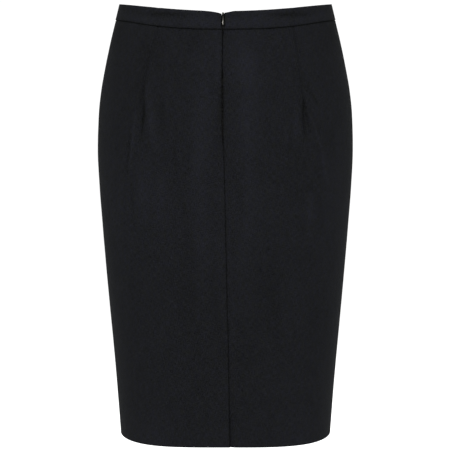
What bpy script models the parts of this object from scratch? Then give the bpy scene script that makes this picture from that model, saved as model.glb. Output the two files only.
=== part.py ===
"""Pencil skirt at its real size, hollow, hanging as it does when it is worn.

Metres, +Z up.  The origin is at the centre of the waist, half way up the waistband at the
side seams.  The front faces +Y, and the centre back zip and vent face -Y, so -X is the
wearer's left.  A place on the cloth is given by its drop, measured down from the top edge
at the side seams, and by its turn: -1 at the left side seam, 0 in the middle and 1 at the
right side seam.
"""

import math

import bmesh
import bpy
import numpy as np
from mathutils import Matrix, Vector

# ---- Driving dimensions ----
TOP_Z = 0.0112               # top edge of the waistband at the side seams
SEAM_DROP = 0.0220           # waist seam, at the side seams
HEM_DROP = 0.5978            # hem, level all round
VENT_DROP = 0.4228           # top of the centre back vent
ZIP_END_DROP = 0.1908        # lower end of the centre back zip
PANEL_WALL = 0.0014          # one layer of suiting with its fusing
BAND_WALL = 0.0024           # waistband: two layers and its interfacing
BAND_PROUD = 0.0006          # how far the band stands out past the panels
SEAM_GAP = 0.0004            # pieces stand this far apart at a seam
LAP_GAP = 0.0005             # between layers that lie on each other

# How far the top edge and the waist seam dip in the middle, and the powers that shape
# the dip: the first across the panel, the second for how soon it levels out.
TOP_DIP = {"back": 0.0090, "front": 0.0180}
TOP_DIP_POWERS = (2.0, 1.4)
SEAM_DIP = {"back": 0.0110, "front": 0.0187}
SEAM_DIP_POWERS = (3.0, 1.8)

# ---- Sections of the skirt, one row for each height ----
# flatness is 2 for an ellipse and 4 for a nearly straight panel with round sides.
SECTION_COLUMNS = ("drop", "half_width", "back_depth", "front_depth", "flatness")
SECTIONS = (
    (0.000, 0.1463, 0.1070, 0.1090, 2.3),
    (0.022, 0.1518, 0.1118, 0.1125, 2.4),
    (0.052, 0.1592, 0.1190, 0.1160, 2.5),
    (0.086, 0.1664, 0.1262, 0.1185, 2.6),
    (0.119, 0.1723, 0.1318, 0.1200, 2.7),
    (0.152, 0.1758, 0.1355, 0.1205, 2.8),
    (0.203, 0.1774, 0.1372, 0.1195, 2.9),
    (0.253, 0.1752, 0.1358, 0.1180, 3.0),
    (0.304, 0.1715, 0.1336, 0.1170, 3.2),
    (0.371, 0.1660, 0.1314, 0.1165, 3.4),
    (0.439, 0.1599, 0.1301, 0.1168, 3.6),
    (0.507, 0.1538, 0.1296, 0.1174, 3.7),
    (0.575, 0.1486, 0.1294, 0.1180, 3.7),
    (0.599, 0.1469, 0.1294, 0.1182, 3.7),
)

# The centre back seam wanders a little to the wearer's right on its way down.
CENTRE_BACK_COLUMNS = ("drop", "x")
CENTRE_BACK = (
    (0.000, -0.0031),
    (0.030, -0.0034),
    (0.080, -0.0044),
    (0.170, -0.0038),
    (0.210, -0.0019),
    (0.250, -0.0009),
    (0.360, 0.0015),
    (0.410, 0.0024),
    (0.450, 0.0035),
    (0.600, 0.0058),
)

# Half of the gap between the two back pieces: open in the band, closed below it, parted again
# over the lower zip, and closed at the plain seam.
BACK_GAP_COLUMNS = ("drop", "half_gap")
BACK_GAP = (
    (0.0090, 0.0022),
    (0.0190, 0.0027),
    (0.0270, 0.0024),
    (0.0330, 0.0013),
    (0.0450, 0.0004),
    (0.0850, 0.0004),
    (0.1000, 0.0011),
    (0.1700, 0.0011),
    (0.1850, 0.0006),
    (0.2000, 0.0002),
    (0.6000, 0.0002),
)

# ---- Darts: x at the waist seam and at the tip.  The front darts are shorter. ----
# A dart whose curve is 1 is straight; above 1 it bows towards the side seam.
DARTS = {
    "back_left": {"top_x": -0.0913, "tip_x": -0.1112, "tip_drop": 0.148, "curve": 2.2},
    "back_right": {"top_x": 0.0914, "tip_x": 0.1062, "tip_drop": 0.148, "curve": 1.4},
    "front_left": {"top_x": -0.0800, "tip_x": -0.0880, "tip_drop": 0.118, "curve": 1.0},
    "front_right": {"top_x": 0.0800, "tip_x": 0.0880, "tip_drop": 0.118, "curve": 1.0},
}
DART_CREASE = 0.0008
DART_CREASE_WIDTH = 0.0030
DART_CREASE_FADE = 0.020     # the crease dies out over this length above the tip

# ---- The largest folds, from their top to their bottom, with height and half width ----
FOLD_COLUMNS = ("top_x", "top_drop", "bottom_x", "bottom_drop", "height", "width")
FOLDS = {
    "back": (
        (-0.0345, 0.050, -0.0330, 0.360, 0.0013, 0.012),
        (0.0290, 0.050, 0.0290, 0.360, 0.0013, 0.012),
        (-0.0620, 0.060, -0.0600, 0.310, -0.0012, 0.013),
        (0.0580, 0.060, 0.0570, 0.300, -0.0012, 0.013),
        (-0.1112, 0.130, -0.1120, 0.162, -0.0022, 0.006),
        (-0.1112, 0.146, -0.1320, 0.215, -0.0017, 0.008),
        (-0.1250, 0.210, -0.1230, 0.330, -0.0010, 0.009),
        (-0.1110, 0.190, -0.1100, 0.310, 0.0018, 0.012),
        (-0.0960, 0.110, -0.0950, 0.200, 0.0013, 0.009),
        (0.1062, 0.125, 0.1068, 0.170, -0.0022, 0.006),
        (0.1090, 0.150, 0.1310, 0.210, 0.0013, 0.008),
        (0.1180, 0.130, 0.1330, 0.190, -0.0010, 0.008),
        (0.1000, 0.170, 0.0960, 0.280, 0.0012, 0.014),
    ),
    "front": (
        (-0.0880, 0.100, -0.0885, 0.135, -0.0018, 0.006),
        (0.0880, 0.100, 0.0885, 0.135, -0.0018, 0.006),
        (-0.0450, 0.070, -0.0480, 0.330, 0.0012, 0.016),
        (0.0500, 0.070, 0.0460, 0.300, 0.0012, 0.016),
        (-0.1060, 0.130, -0.1160, 0.300, 0.0014, 0.013),
        (0.1080, 0.130, 0.1150, 0.280, 0.0014, 0.013),
        (0.0020, 0.200, 0.0040, 0.480, -0.0010, 0.020),
    ),
}
FOLD_FADE_POWER = 1.2        # how quickly a fold dies out towards its ends

# ---- Edges beside the centre back ----
ROLL = {"panel": 0.0015, "band": 0.0022}   # how far the edges roll in over the zip
ROLL_WIDTH = 0.0030
SEAM_DITCH = 0.0007          # the plain seam below the zip
SEAM_DITCH_WIDTH = 0.0020
EDGE_CHANGE = 0.020          # length over which one kind of edge becomes the next
NOTCHES = {                  # how far each corner of the band drops at the zip, and how that fades
    "back_left": {"depth": 0.0034, "reach": 0.0340, "power": 2.6},
    "back_right": {"depth": 0.0021, "reach": 0.0117, "power": 0.7},
}
UNDERLAP = 0.040             # cut in one with the right back panel, below the vent's top
VENT_STEP_WIDTH = 0.010      # that panel steps in under the left one over this width

# ---- Zip ----
TAPE_WIDTH = 0.012
TAPE_WALL = 0.0010
TAPE_HALF_GAP = 0.0012       # the slider's neck passes here, and the chain closes it below
TAPE_TOP_DROP = 0.0130
ZIP_TAIL = 0.006             # the tape runs on this far past the zip's end
CHAIN_HALF_WIDTH = 0.0018
CHAIN_WALL = 0.0012
METAL_GAP = 0.0003
PULL_AXIS_DROP = 0.0126

# Slider and pull tab, in the axis's own frame: x across, y inwards, z up the band.
PLATE_HALF_WIDTH = 0.0015
PLATE_TOP = 0.0026
PLATE_BOTTOM = -0.0032
PLATE_FACE = 0.0008          # the front face, behind the axis
PLATE_WALL = 0.0009
PLATE_ROUNDING = 0.00025
NECK_HALF_WIDTH = 0.0008
NECK = (-0.0046, -0.0008)    # between the tapes, from its lower end to its upper end
BACK_PLATE_HALF_WIDTH = 0.0024
BACK_PLATE_WALL = 0.0008
BACK_PLATE = (-0.0084, -0.0026)
BRIDGE_HALF_WIDTH = 0.0005
BRIDGE_HALF_LENGTH = 0.0022
BRIDGE_HEIGHT = 0.0022       # above the plate
BRIDGE_BAR = 0.0008
BRIDGE_RADII = (0.0009, 0.0004)   # outside and inside the arch
BRIDGE_FEET = (0.0004, 0.0001)    # how far its foot and its opening reach into the plate
PULL_LENGTH = 0.0154         # axis to the tip of the tab
PULL_HALF_THICKNESS = 0.0004
PULL_TIP_HALF_WIDTH = 0.0012
PULL_SHOULDER = -0.0102      # the tab is widest from here to its round tip
PULL_EYE_HALF_WIDTH = 0.00075
PULL_EYE_WALL = 0.00045
PULL_EYE_END = -0.0034
PULL_NECK_HALF_WIDTH = 0.0005
PULL_NECK = (-0.0045, -0.0062)   # where the neck under the eye starts and ends
PULL_BAR = 0.00045           # half of the bar that turns under the bridge
PULL_ROUNDING = 0.0001

# ---- Mesh density ----
EDGE_COLUMNS = (0.0, 0.0018, 0.0050, 0.0100)   # distances from the centre back edge
DART_FLANK = 0.0040                            # a column either side of a dart seam
SIDE_FLANK = 0.0040                            # and one beside each side seam
INNER_COLUMNS = 7
OUTER_COLUMNS = 7
FRONT_MIDDLE_COLUMNS = 9
UNDERLAP_COLUMNS = 3
BAND_ROWS = 3
BAND_COLUMNS = {"back": 9, "front": 22}
ZIP_ROWS = 16
TAPE_COLUMNS = (TAPE_HALF_GAP, 0.0035, 0.0070, TAPE_HALF_GAP + TAPE_WIDTH)
ROW_STRETCHES = {            # where each stretch of rows ends, and how many it has
    "back": ((0.060, 3), (0.200, 11), (0.300, 5), (VENT_DROP, 5), (HEM_DROP, 7)),
    "front": ((0.060, 2), (0.160, 6), (0.330, 6), (HEM_DROP, 8)),
}
ARC_SAMPLES = 81
NORMAL_STEP = 0.002

# ---- Finishes: linear colour, roughness, metallic ----
FINISHES = {
    "suiting": ((0.0130, 0.0140, 0.0175), 0.90, 0.0),
    "zip_tape": ((0.0150, 0.0140, 0.0100), 0.85, 0.0),
    "gunmetal": ((0.1600, 0.1550, 0.1350), 0.28, 1.0),
}


# ---- Reading the tables ----

def named_columns(names, rows):
    """Turn a table's rows into one array for each named column."""
    return {name: np.array([row[i] for row in rows]) for i, name in enumerate(names)}


def slopes(steps, values):
    """A slope at each row, for a curve that never swings past the rows' own values."""
    widths = np.diff(steps)
    rises = np.diff(values) / widths
    result = np.zeros(len(values))
    result[0] = rises[0]
    result[-1] = rises[-1]
    for i in range(1, len(values) - 1):
        before, after = rises[i - 1], rises[i]
        if before * after > 0.0:
            weights = (2.0 * widths[i] + widths[i - 1], widths[i] + 2.0 * widths[i - 1])
            result[i] = sum(weights) / (weights[0] / before + weights[1] / after)
    return result


SECTION = named_columns(SECTION_COLUMNS, SECTIONS)
SECTION_SLOPES = {name: slopes(SECTION["drop"], SECTION[name]) for name in SECTION_COLUMNS[1:]}
CENTRE = named_columns(CENTRE_BACK_COLUMNS, CENTRE_BACK)
GAP = named_columns(BACK_GAP_COLUMNS, BACK_GAP)


def section(name, drop):
    """A section's measure at any height, on a smooth curve through the table's rows."""
    drops = SECTION["drop"]
    i = int(np.clip(np.searchsorted(drops, drop) - 1, 0, len(drops) - 2))
    width = drops[i + 1] - drops[i]
    t = min(max((drop - drops[i]) / width, 0.0), 1.0)
    start, end = SECTION[name][i], SECTION[name][i + 1]
    start_rise, end_rise = SECTION_SLOPES[name][i] * width, SECTION_SLOPES[name][i + 1] * width
    return (
        (start * (1.0 + 2.0 * t) + start_rise * t) * (1.0 - t) ** 2
        + (end * (3.0 - 2.0 * t) + end_rise * (t - 1.0)) * t ** 2
    )


def centre_back(drop):
    return float(np.interp(drop, CENTRE["drop"], CENTRE["x"]))


def half_gap(drop):
    return float(np.interp(drop, GAP["drop"], GAP["half_gap"]))


def smooth_step(value):
    t = min(max(value, 0.0), 1.0)
    return t * t * (3.0 - 2.0 * t)


# ---- The smooth skirt ----

def share_of_width(turn):
    """A turn as a share of the half width: turns crowd together towards the side seams."""
    return math.copysign(1.0 - (1.0 - abs(turn)) ** 2, turn)


def turn_at_x(x, drop):
    share = min(abs(x) / section("half_width", drop), 1.0)
    return math.copysign(1.0 - math.sqrt(1.0 - share), x)


def skin(turn, drop, face):
    share = share_of_width(turn)
    depth = section(face + "_depth", drop)
    roundness = 1.0 - abs(share) ** section("flatness", drop)
    outward = 1.0 if face == "front" else -1.0
    return Vector((
        section("half_width", drop) * share,
        outward * depth * math.sqrt(max(roundness, 0.0)),
        TOP_Z - drop,
    ))


def skin_normal(turn, drop, face):
    before, after = max(turn - NORMAL_STEP, -1.0), min(turn + NORMAL_STEP, 1.0)
    across = skin(after, drop, face) - skin(before, drop, face)
    down = skin(turn, drop + NORMAL_STEP, face) - skin(turn, drop - NORMAL_STEP, face)
    normal = across.cross(down).normalized()
    outward = skin(turn, drop, face)
    outward.z = 0.0
    return normal if normal.dot(outward) > 0.0 else -normal


def arc_lengths(drop, face):
    """Turns from the middle to the side seam, and the length of cloth to each."""
    turns = np.linspace(0.0, 1.0, ARC_SAMPLES)
    points = np.array([skin(turn, drop, face)[:] for turn in turns])
    steps = np.linalg.norm(np.diff(points, axis=0), axis=1)
    return turns, np.concatenate([[0.0], np.cumsum(steps)])


def turns_at(places, arc):
    """Turns of places that are given as lengths of cloth from the middle."""
    turns, lengths = arc
    return [math.copysign(float(np.interp(abs(place), lengths, turns)), place) for place in places]


def dip(depths, powers, face, turn):
    share = abs(share_of_width(turn))
    return depths[face] * (1.0 - share ** powers[0]) ** powers[1]


def top_drop(face, turn):
    return dip(TOP_DIP, TOP_DIP_POWERS, face, turn)


def seam_drop(face, turn):
    return SEAM_DROP + dip(SEAM_DIP, SEAM_DIP_POWERS, face, turn)


# ---- Darts, folds and edges ----

def dart_x(name, drop):
    """The dart seam down to its tip, and the line that carries on below it."""
    dart = DARTS[name]
    start = seam_drop(name.split("_")[0], 0.0)
    t = min(max((drop - start) / (dart["tip_drop"] - start), 0.0), 1.0)
    x = dart["top_x"] + (dart["tip_x"] - dart["top_x"]) * (1.0 - (1.0 - t) ** dart["curve"])
    if drop > dart["tip_drop"]:
        x *= section("half_width", drop) / section("half_width", dart["tip_drop"])
    return x


def bell(distance, width):
    return math.exp(-((distance / width) ** 2))


def fold_height(face, x, drop):
    """Sum of the folds: each is highest half way along and dies out at both ends."""
    total = 0.0
    for row in FOLDS[face]:
        fold = dict(zip(FOLD_COLUMNS, row))
        along = (drop - fold["top_drop"]) / (fold["bottom_drop"] - fold["top_drop"])
        if 0.0 < along < 1.0:
            ridge_x = fold["top_x"] + (fold["bottom_x"] - fold["top_x"]) * along
            fade = math.sin(math.pi * along) ** FOLD_FADE_POWER
            total += fold["height"] * fade * bell(x - ridge_x, fold["width"])
    for name, dart in DARTS.items():
        if name.startswith(face) and drop < dart["tip_drop"]:
            fade = smooth_step((dart["tip_drop"] - drop) / DART_CREASE_FADE)
            total -= DART_CREASE * fade * bell(x - dart_x(name, drop), DART_CREASE_WIDTH)
    return total


def edge_depth(x, drop, roll):
    """How far the back's edges turn in beside the zip, and then beside the plain seam."""
    away = max(abs(x - centre_back(drop)) - half_gap(drop), 0.0)
    zip_share = 1.0 - smooth_step((drop - ZIP_END_DROP) / EDGE_CHANGE)
    vent_share = smooth_step((drop - VENT_DROP) / EDGE_CHANGE + 1.0)
    ditch = SEAM_DITCH * (1.0 - zip_share) * (1.0 - vent_share)
    return roll * zip_share * math.exp(-away / ROLL_WIDTH) + ditch * math.exp(-away / SEAM_DITCH_WIDTH)


def cloth(turn, drop, face, lift=0.0, roll=ROLL["panel"]):
    """A point of the finished cloth, lifted off it by a distance along the normal."""
    point = skin(turn, drop, face)
    height = lift + fold_height(face, point.x, drop)
    if face == "back":
        height -= edge_depth(point.x, drop, roll)
    return point + skin_normal(turn, drop, face) * height


# ---- Objects and meshes ----

def finish_material(name):
    material = bpy.data.materials.get(name)
    if material is None:
        colour, roughness, metallic = FINISHES[name]
        material = bpy.data.materials.new(name)
        material.use_nodes = True
        shader = material.node_tree.nodes["Principled BSDF"]
        shader.inputs["Base Color"].default_value = (*colour, 1.0)
        shader.inputs["Roughness"].default_value = roughness
        shader.inputs["Metallic"].default_value = metallic
        material.diffuse_color = (*colour, 1.0)
    return material


def add_object(name, data, finish, collection):
    piece = bpy.data.objects.new(name, data)
    collection.objects.link(piece)
    piece.data.materials.append(finish_material(finish))
    return piece


def mesh_object(name, shape, finish, collection):
    mesh = bpy.data.meshes.new(name)
    shape.to_mesh(mesh)
    shape.free()
    return add_object(name, mesh, finish, collection)


def lofted_sheet(name, grid, wall, finish, collection, missing=()):
    """A sheet through a grid of points, rows from top to bottom, with its wall inside."""
    rows, columns = len(grid), len(grid[0])
    shape = bmesh.new()
    bmesh.ops.create_grid(shape, x_segments=columns - 1, y_segments=rows - 1, size=0.5)
    left_out = []
    for vertex in shape.verts:
        column = round((vertex.co.x + 0.5) * (columns - 1))
        row = round((0.5 - vertex.co.y) * (rows - 1))
        vertex.co = grid[row][column]
        if (row, column) in missing:
            left_out.append(vertex)
    bmesh.ops.delete(shape, geom=left_out, context="VERTS")
    shape.normal_update()
    sample = shape.faces[:][-1]
    outward = sample.calc_center_median()
    outward.z = 0.0
    if sample.normal.dot(outward) < 0.0:
        bmesh.ops.reverse_faces(shape, faces=shape.faces[:])
    piece = mesh_object(name, shape, finish, collection)
    piece.data.shade_smooth()
    thickness = piece.modifiers.new("wall", "SOLIDIFY")
    thickness.thickness = wall
    thickness.offset = -1.0
    thickness.use_even_offset = True
    thickness.use_quality_normals = True
    return piece


def even(start, end, count):
    """Evenly spaced places between two others, without the two themselves."""
    return [start + (end - start) * (i + 1) / (count + 1) for i in range(count)]


def row_shares(face):
    """Rows of a panel, as shares of the way from the waist seam to the hem."""
    top = seam_drop(face, 0.0)
    drops = [top]
    for end, count in ROW_STRETCHES[face]:
        drops += even(drops[-1], end, count - 1) + [end]
    return [(drop - top) / (HEM_DROP - top) for drop in drops]


# ---- Panels ----

def dart_to_side_seam(dart, end):
    """Columns from a dart's inner flank, over the dart, to the side seam."""
    columns = [dart - DART_FLANK, dart, dart + DART_FLANK]
    columns += even(dart + DART_FLANK, end - SIDE_FLANK, OUTER_COLUMNS)
    return columns + [end - SIDE_FLANK, end]


def dart_place(name, drop, arc):
    turns, lengths = arc
    return float(np.interp(abs(turn_at_x(dart_x(name, drop), drop)), turns, lengths))


def back_columns(side, name, drop, near_edge):
    """Turns of a back panel's columns at one height, from the centre back outwards."""
    arc = arc_lengths(drop, "back")
    edge = side * centre_back(drop) + half_gap(drop)
    places = [edge + offset for offset in near_edge]
    outer = dart_to_side_seam(dart_place(name, drop, arc), arc[1][-1] - SEAM_GAP / 2.0)
    places += even(places[-1], outer[0], INNER_COLUMNS) + outer
    return turns_at([side * place for place in places], arc)


def back_panel(name, side, collection):
    """side is -1 for the left panel and 1 for the right one, which has the underlap."""
    middle_top = seam_drop("back", 0.0)
    near_edge = EDGE_COLUMNS
    under_columns = 0
    if side > 0:
        under_columns = UNDERLAP_COLUMNS
        near_edge = tuple([-UNDERLAP] + even(-UNDERLAP, 0.0, UNDERLAP_COLUMNS - 1)) + EDGE_COLUMNS
    missing = set()
    grid = []
    for row, share in enumerate(row_shares("back")):
        middle_drop = middle_top + share * (HEM_DROP - middle_top)
        below_vent_top = middle_drop > VENT_DROP + LAP_GAP
        if not below_vent_top:
            missing.update((row, column) for column in range(under_columns))
        points = []
        for turn in back_columns(side, name, middle_drop, near_edge):
            top = seam_drop("back", turn) + SEAM_GAP / 2.0
            drop = top + share * (HEM_DROP - top)
            lift = 0.0
            if under_columns and below_vent_top:
                past_edge = (skin(turn, drop, "back").x - centre_back(drop)) / VENT_STEP_WIDTH
                lift = -(PANEL_WALL + LAP_GAP) * (1.0 - smooth_step(past_edge))
            points.append(cloth(turn, drop, "back", lift))
        grid.append(points)
    return lofted_sheet(name + "_panel", grid, PANEL_WALL, "suiting", collection, missing)


def front_columns(drop):
    arc = arc_lengths(drop, "front")
    end = arc[1][-1] - SEAM_GAP / 2.0
    left_outer = dart_to_side_seam(dart_place("front_left", drop, arc), end)
    left = [-place for place in reversed(left_outer)]
    right = dart_to_side_seam(dart_place("front_right", drop, arc), end)
    return turns_at(left + even(left[-1], right[0], FRONT_MIDDLE_COLUMNS) + right, arc)


def front_panel(collection):
    middle_top = seam_drop("front", 0.0)
    grid = []
    for share in row_shares("front"):
        points = []
        for turn in front_columns(middle_top + share * (HEM_DROP - middle_top)):
            top = seam_drop("front", turn) + SEAM_GAP / 2.0
            points.append(cloth(turn, top + share * (HEM_DROP - top), "front"))
        grid.append(points)
    return lofted_sheet("front_panel", grid, PANEL_WALL, "suiting", collection)


# ---- Waistband ----

def band_columns(face, side, drop):
    """Turns of a band piece's columns; side is 0 for the front, which crosses the middle."""
    arc = arc_lengths(drop, face)
    end = arc[1][-1] - SEAM_GAP / 2.0
    near_end = end - SIDE_FLANK
    if side == 0:
        places = [-end, -near_end] + even(-near_end, near_end, BAND_COLUMNS[face])
        return turns_at(places + [near_end, end], arc)
    edge = side * centre_back(drop) + half_gap(drop)
    places = [edge + offset for offset in EDGE_COLUMNS]
    places += even(places[-1], near_end, BAND_COLUMNS[face])
    return turns_at([side * place for place in places + [near_end, end]], arc)


def band_top(name, face, turn):
    """The band's top edge, with the corners that drop beside the zip."""
    drop = top_drop(face, turn)
    if name in NOTCHES:
        notch = NOTCHES[name]
        away = abs(skin(turn, drop, face).x - centre_back(drop)) - half_gap(drop)
        corner = min(max(1.0 - away / notch["reach"], 0.0), 1.0)
        drop += notch["depth"] * corner ** notch["power"]
    return drop


def band_piece(name, face, side, collection):
    middle_top, middle_bottom = top_drop(face, 0.0), seam_drop(face, 0.0)
    grid = []
    for row in range(BAND_ROWS + 1):
        share = row / BAND_ROWS
        points = []
        for turn in band_columns(face, side, middle_top + share * (middle_bottom - middle_top)):
            top = band_top(name, face, turn)
            bottom = seam_drop(face, turn) - SEAM_GAP / 2.0
            drop = top + share * (bottom - top)
            points.append(cloth(turn, drop, face, BAND_PROUD, ROLL["band"]))
        grid.append(points)
    return lofted_sheet("waistband_" + name, grid, BAND_WALL, "suiting", collection)


# ---- Zip ----

def tape_seat(drop):
    """How deep the tape lies under the cloth, and the roll of the edges above it."""
    past_band = smooth_step((drop - seam_drop("back", 0.0)) / EDGE_CHANGE)
    in_band = BAND_WALL - BAND_PROUD + LAP_GAP
    in_panel = PANEL_WALL + LAP_GAP
    depth = in_band + past_band * (in_panel - in_band)
    return depth, ROLL["band"] + past_band * (ROLL["panel"] - ROLL["band"])


def zip_strip(name, offsets, start_drop, extra_depth, wall, collection):
    """A strip along the centre back, under the cloth, through offsets across it."""
    end_drop = ZIP_END_DROP + ZIP_TAIL
    grid = []
    for row in range(ZIP_ROWS + 1):
        drop = start_drop + (end_drop - start_drop) * row / ZIP_ROWS
        depth, roll = tape_seat(drop)
        turns = [turn_at_x(centre_back(drop) + offset, drop) for offset in offsets]
        grid.append([cloth(turn, drop, "back", -depth - extra_depth, roll) for turn in turns])
    return lofted_sheet(name, grid, wall, "zip_tape", collection)


def zip_tapes_and_chain(collection):
    for name, side in (("zip_tape_left", -1.0), ("zip_tape_right", 1.0)):
        offsets = [side * offset for offset in TAPE_COLUMNS]
        zip_strip(name, offsets, TAPE_TOP_DROP, 0.0, TAPE_WALL, collection)
    chain_top = PULL_AXIS_DROP - BACK_PLATE[0] + METAL_GAP
    chain_depth = TAPE_WALL + LAP_GAP + METAL_GAP
    offsets = [-CHAIN_HALF_WIDTH, 0.0, CHAIN_HALF_WIDTH]
    zip_strip("zip_chain", offsets, chain_top, chain_depth, CHAIN_WALL, collection)


def pull_axis(collection):
    """An empty on the pull tab's axis, in front of the tape and leaning with the band."""
    turn = turn_at_x(centre_back(PULL_AXIS_DROP), PULL_AXIS_DROP)
    depth, roll = tape_seat(PULL_AXIS_DROP)
    above_tape = METAL_GAP + PLATE_WALL + PLATE_FACE
    normal = skin_normal(turn, PULL_AXIS_DROP, "back")
    axis = bpy.data.objects.new("pull_axis", None)
    axis.empty_display_size = PULL_LENGTH
    axis.location = cloth(turn, PULL_AXIS_DROP, "back", above_tape - depth, roll)
    axis.rotation_euler = (-math.atan2(normal.z, -normal.y), 0.0, 0.0)
    collection.objects.link(axis)
    return axis


def round_arc(centre, radius, start_deg, end_deg, steps):
    angles = [math.radians(start_deg + (end_deg - start_deg) * i / steps) for i in range(steps + 1)]
    return [(centre[0] + radius * math.cos(a), centre[1] + radius * math.sin(a)) for a in angles]


def flat_plate(name, outlines, half_thickness, rounding, collection):
    """A plate from closed outlines in x and y: the first is solid and the next are holes."""
    curve = bpy.data.curves.new(name, "CURVE")
    curve.dimensions = "2D"
    curve.fill_mode = "BOTH"
    curve.extrude = half_thickness - rounding
    curve.bevel_depth = rounding
    curve.bevel_resolution = 1
    curve.offset = -rounding
    for outline in outlines:
        spline = curve.splines.new("POLY")
        spline.points.add(len(outline) - 1)
        for point, (across, up) in zip(spline.points, outline):
            point.co = (across, up, 0.0, 1.0)
        spline.use_cyclic_u = True
    return add_object(name, curve, "gunmetal", collection)


def welded_mesh(curve_object, collection):
    """The curve's solid as a mesh object with welded caps, in the same place."""
    bpy.context.view_layer.update()
    graph = bpy.context.evaluated_depsgraph_get()
    mesh = bpy.data.meshes.new_from_object(curve_object.evaluated_get(graph))
    shape = bmesh.new()
    shape.from_mesh(mesh)
    bmesh.ops.remove_doubles(shape, verts=shape.verts[:], dist=1e-6)
    name, place = curve_object.name, curve_object.matrix_world.copy()
    bpy.data.objects.remove(curve_object)
    piece = mesh_object(name, shape, "gunmetal", collection)
    piece.matrix_world = place
    return piece


def box(name, low, high, collection):
    shape = bmesh.new()
    bmesh.ops.create_cube(shape, size=1.0)
    low, high = Vector(low), Vector(high)
    bmesh.ops.scale(shape, vec=high - low, verts=shape.verts[:])
    bmesh.ops.translate(shape, vec=(low + high) / 2.0, verts=shape.verts[:])
    return mesh_object(name, shape, "gunmetal", collection)


def slider_bridge(collection):
    """The arch that holds the pull, drawn with z along its first axis and y second."""
    outlines = []
    for inset, radius, sunk in zip((0.0, BRIDGE_BAR), BRIDGE_RADII, BRIDGE_FEET):
        half, base = BRIDGE_HALF_LENGTH - inset, PLATE_FACE + sunk
        crown = PLATE_FACE - BRIDGE_HEIGHT + inset + radius
        outline = [(-half, base), (half, base)]
        outline += round_arc((half - radius, crown), radius, 0, -90, 4)
        outline += round_arc((radius - half, crown), radius, -90, -180, 4)
        outlines.append(outline)
    bridge = flat_plate("slider_bridge", outlines, BRIDGE_HALF_WIDTH, 0.0, collection)
    bridge.matrix_world = Matrix(((0, 0, 1, 0), (0, 1, 0, 0), (1, 0, 0, 0), (0, 0, 0, 1)))
    return welded_mesh(bridge, collection)


def zip_slider(axis, collection, cutters):
    """Front plate, bridge, neck between the tapes and back plate, joined into one body."""
    plate_back = PLATE_FACE + PLATE_WALL
    tape_back = plate_back + METAL_GAP + TAPE_WALL + METAL_GAP
    slider = box(
        "zip_slider",
        (-PLATE_HALF_WIDTH, PLATE_FACE, PLATE_BOTTOM),
        (PLATE_HALF_WIDTH, plate_back, PLATE_TOP),
        collection)
    rounding = slider.modifiers.new("rounding", "BEVEL")
    rounding.width = PLATE_ROUNDING
    rounding.segments = 2
    neck = box(
        "slider_neck",
        (-NECK_HALF_WIDTH, plate_back - PLATE_WALL / 2.0, NECK[0]),
        (NECK_HALF_WIDTH, tape_back + BACK_PLATE_WALL / 2.0, NECK[1]),
        cutters)
    back_plate = box(
        "slider_back_plate",
        (-BACK_PLATE_HALF_WIDTH, tape_back, BACK_PLATE[0]),
        (BACK_PLATE_HALF_WIDTH, tape_back + BACK_PLATE_WALL, BACK_PLATE[1]),
        cutters)
    for other in (neck, back_plate, slider_bridge(cutters)):
        other.parent = axis
        other.hide_render = True
        other.display_type = "WIRE"
        join = slider.modifiers.new("join_" + other.name, "BOOLEAN")
        join.operation = "UNION"
        join.solver = "EXACT"
        join.object = other
    slider.parent = axis
    return slider


def zip_pull(axis, collection):
    """Teardrop tab with an eye; the bar above the eye turns under the slider's bridge."""
    eye, tip = PULL_EYE_HALF_WIDTH, PULL_TIP_HALF_WIDTH
    shoulder = eye + PULL_EYE_WALL
    right_side = [
        (shoulder - PULL_BAR, PULL_BAR), (shoulder, 0.0), (shoulder, PULL_EYE_END + eye),
        (PULL_NECK_HALF_WIDTH, PULL_NECK[0]), (PULL_NECK_HALF_WIDTH, PULL_NECK[1]),
        (tip, PULL_SHOULDER),
    ]
    outline = right_side + round_arc((0.0, tip - PULL_LENGTH), tip, 0, -180, 10)
    outline += [(-x, z) for x, z in reversed(right_side)]
    hole = [(-eye, -PULL_BAR), (eye, -PULL_BAR)]
    hole += round_arc((0.0, PULL_EYE_END + eye), eye, 0, -180, 6)
    pull = flat_plate("zip_pull", (outline, hole), PULL_HALF_THICKNESS, PULL_ROUNDING, collection)
    pull.parent = axis
    # Drawn in x and y, then stood up so that its thickness lies along the frame's y.
    pull.rotation_euler = (math.pi / 2.0, 0.0, 0.0)
    return pull


def main():
    for old in list(bpy.data.objects):
        bpy.data.objects.remove(old, do_unlink=True)
    skirt = bpy.data.collections.new("pencil_skirt")
    cutters = bpy.data.collections.new("cutters")
    for collection in (skirt, cutters):
        bpy.context.scene.collection.children.link(collection)
    front_panel(skirt)
    back_panel("back_left", -1, skirt)
    back_panel("back_right", 1, skirt)
    band_piece("front", "front", 0, skirt)
    band_piece("back_left", "back", -1, skirt)
    band_piece("back_right", "back", 1, skirt)
    zip_tapes_and_chain(skirt)
    axis = pull_axis(skirt)
    zip_slider(axis, skirt, cutters)
    zip_pull(axis, skirt)


main()
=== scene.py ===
"""Looks of a pencil skirt: woven suiting cut and folded as a maker would, and a gunmetal zip.

Metres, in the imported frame: +Z up, the centre back zip and vent face -Y, -X is the wearer's
left.  A place on the cloth is given by its drop, measured down from the top edge at the side
seams, and by its turn: -1 at the left side seam, 0 in the middle and 1 at the right one.
"""

import math

import bmesh
import bpy
import numpy as np
from mathutils import Matrix, Vector, noise

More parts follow.
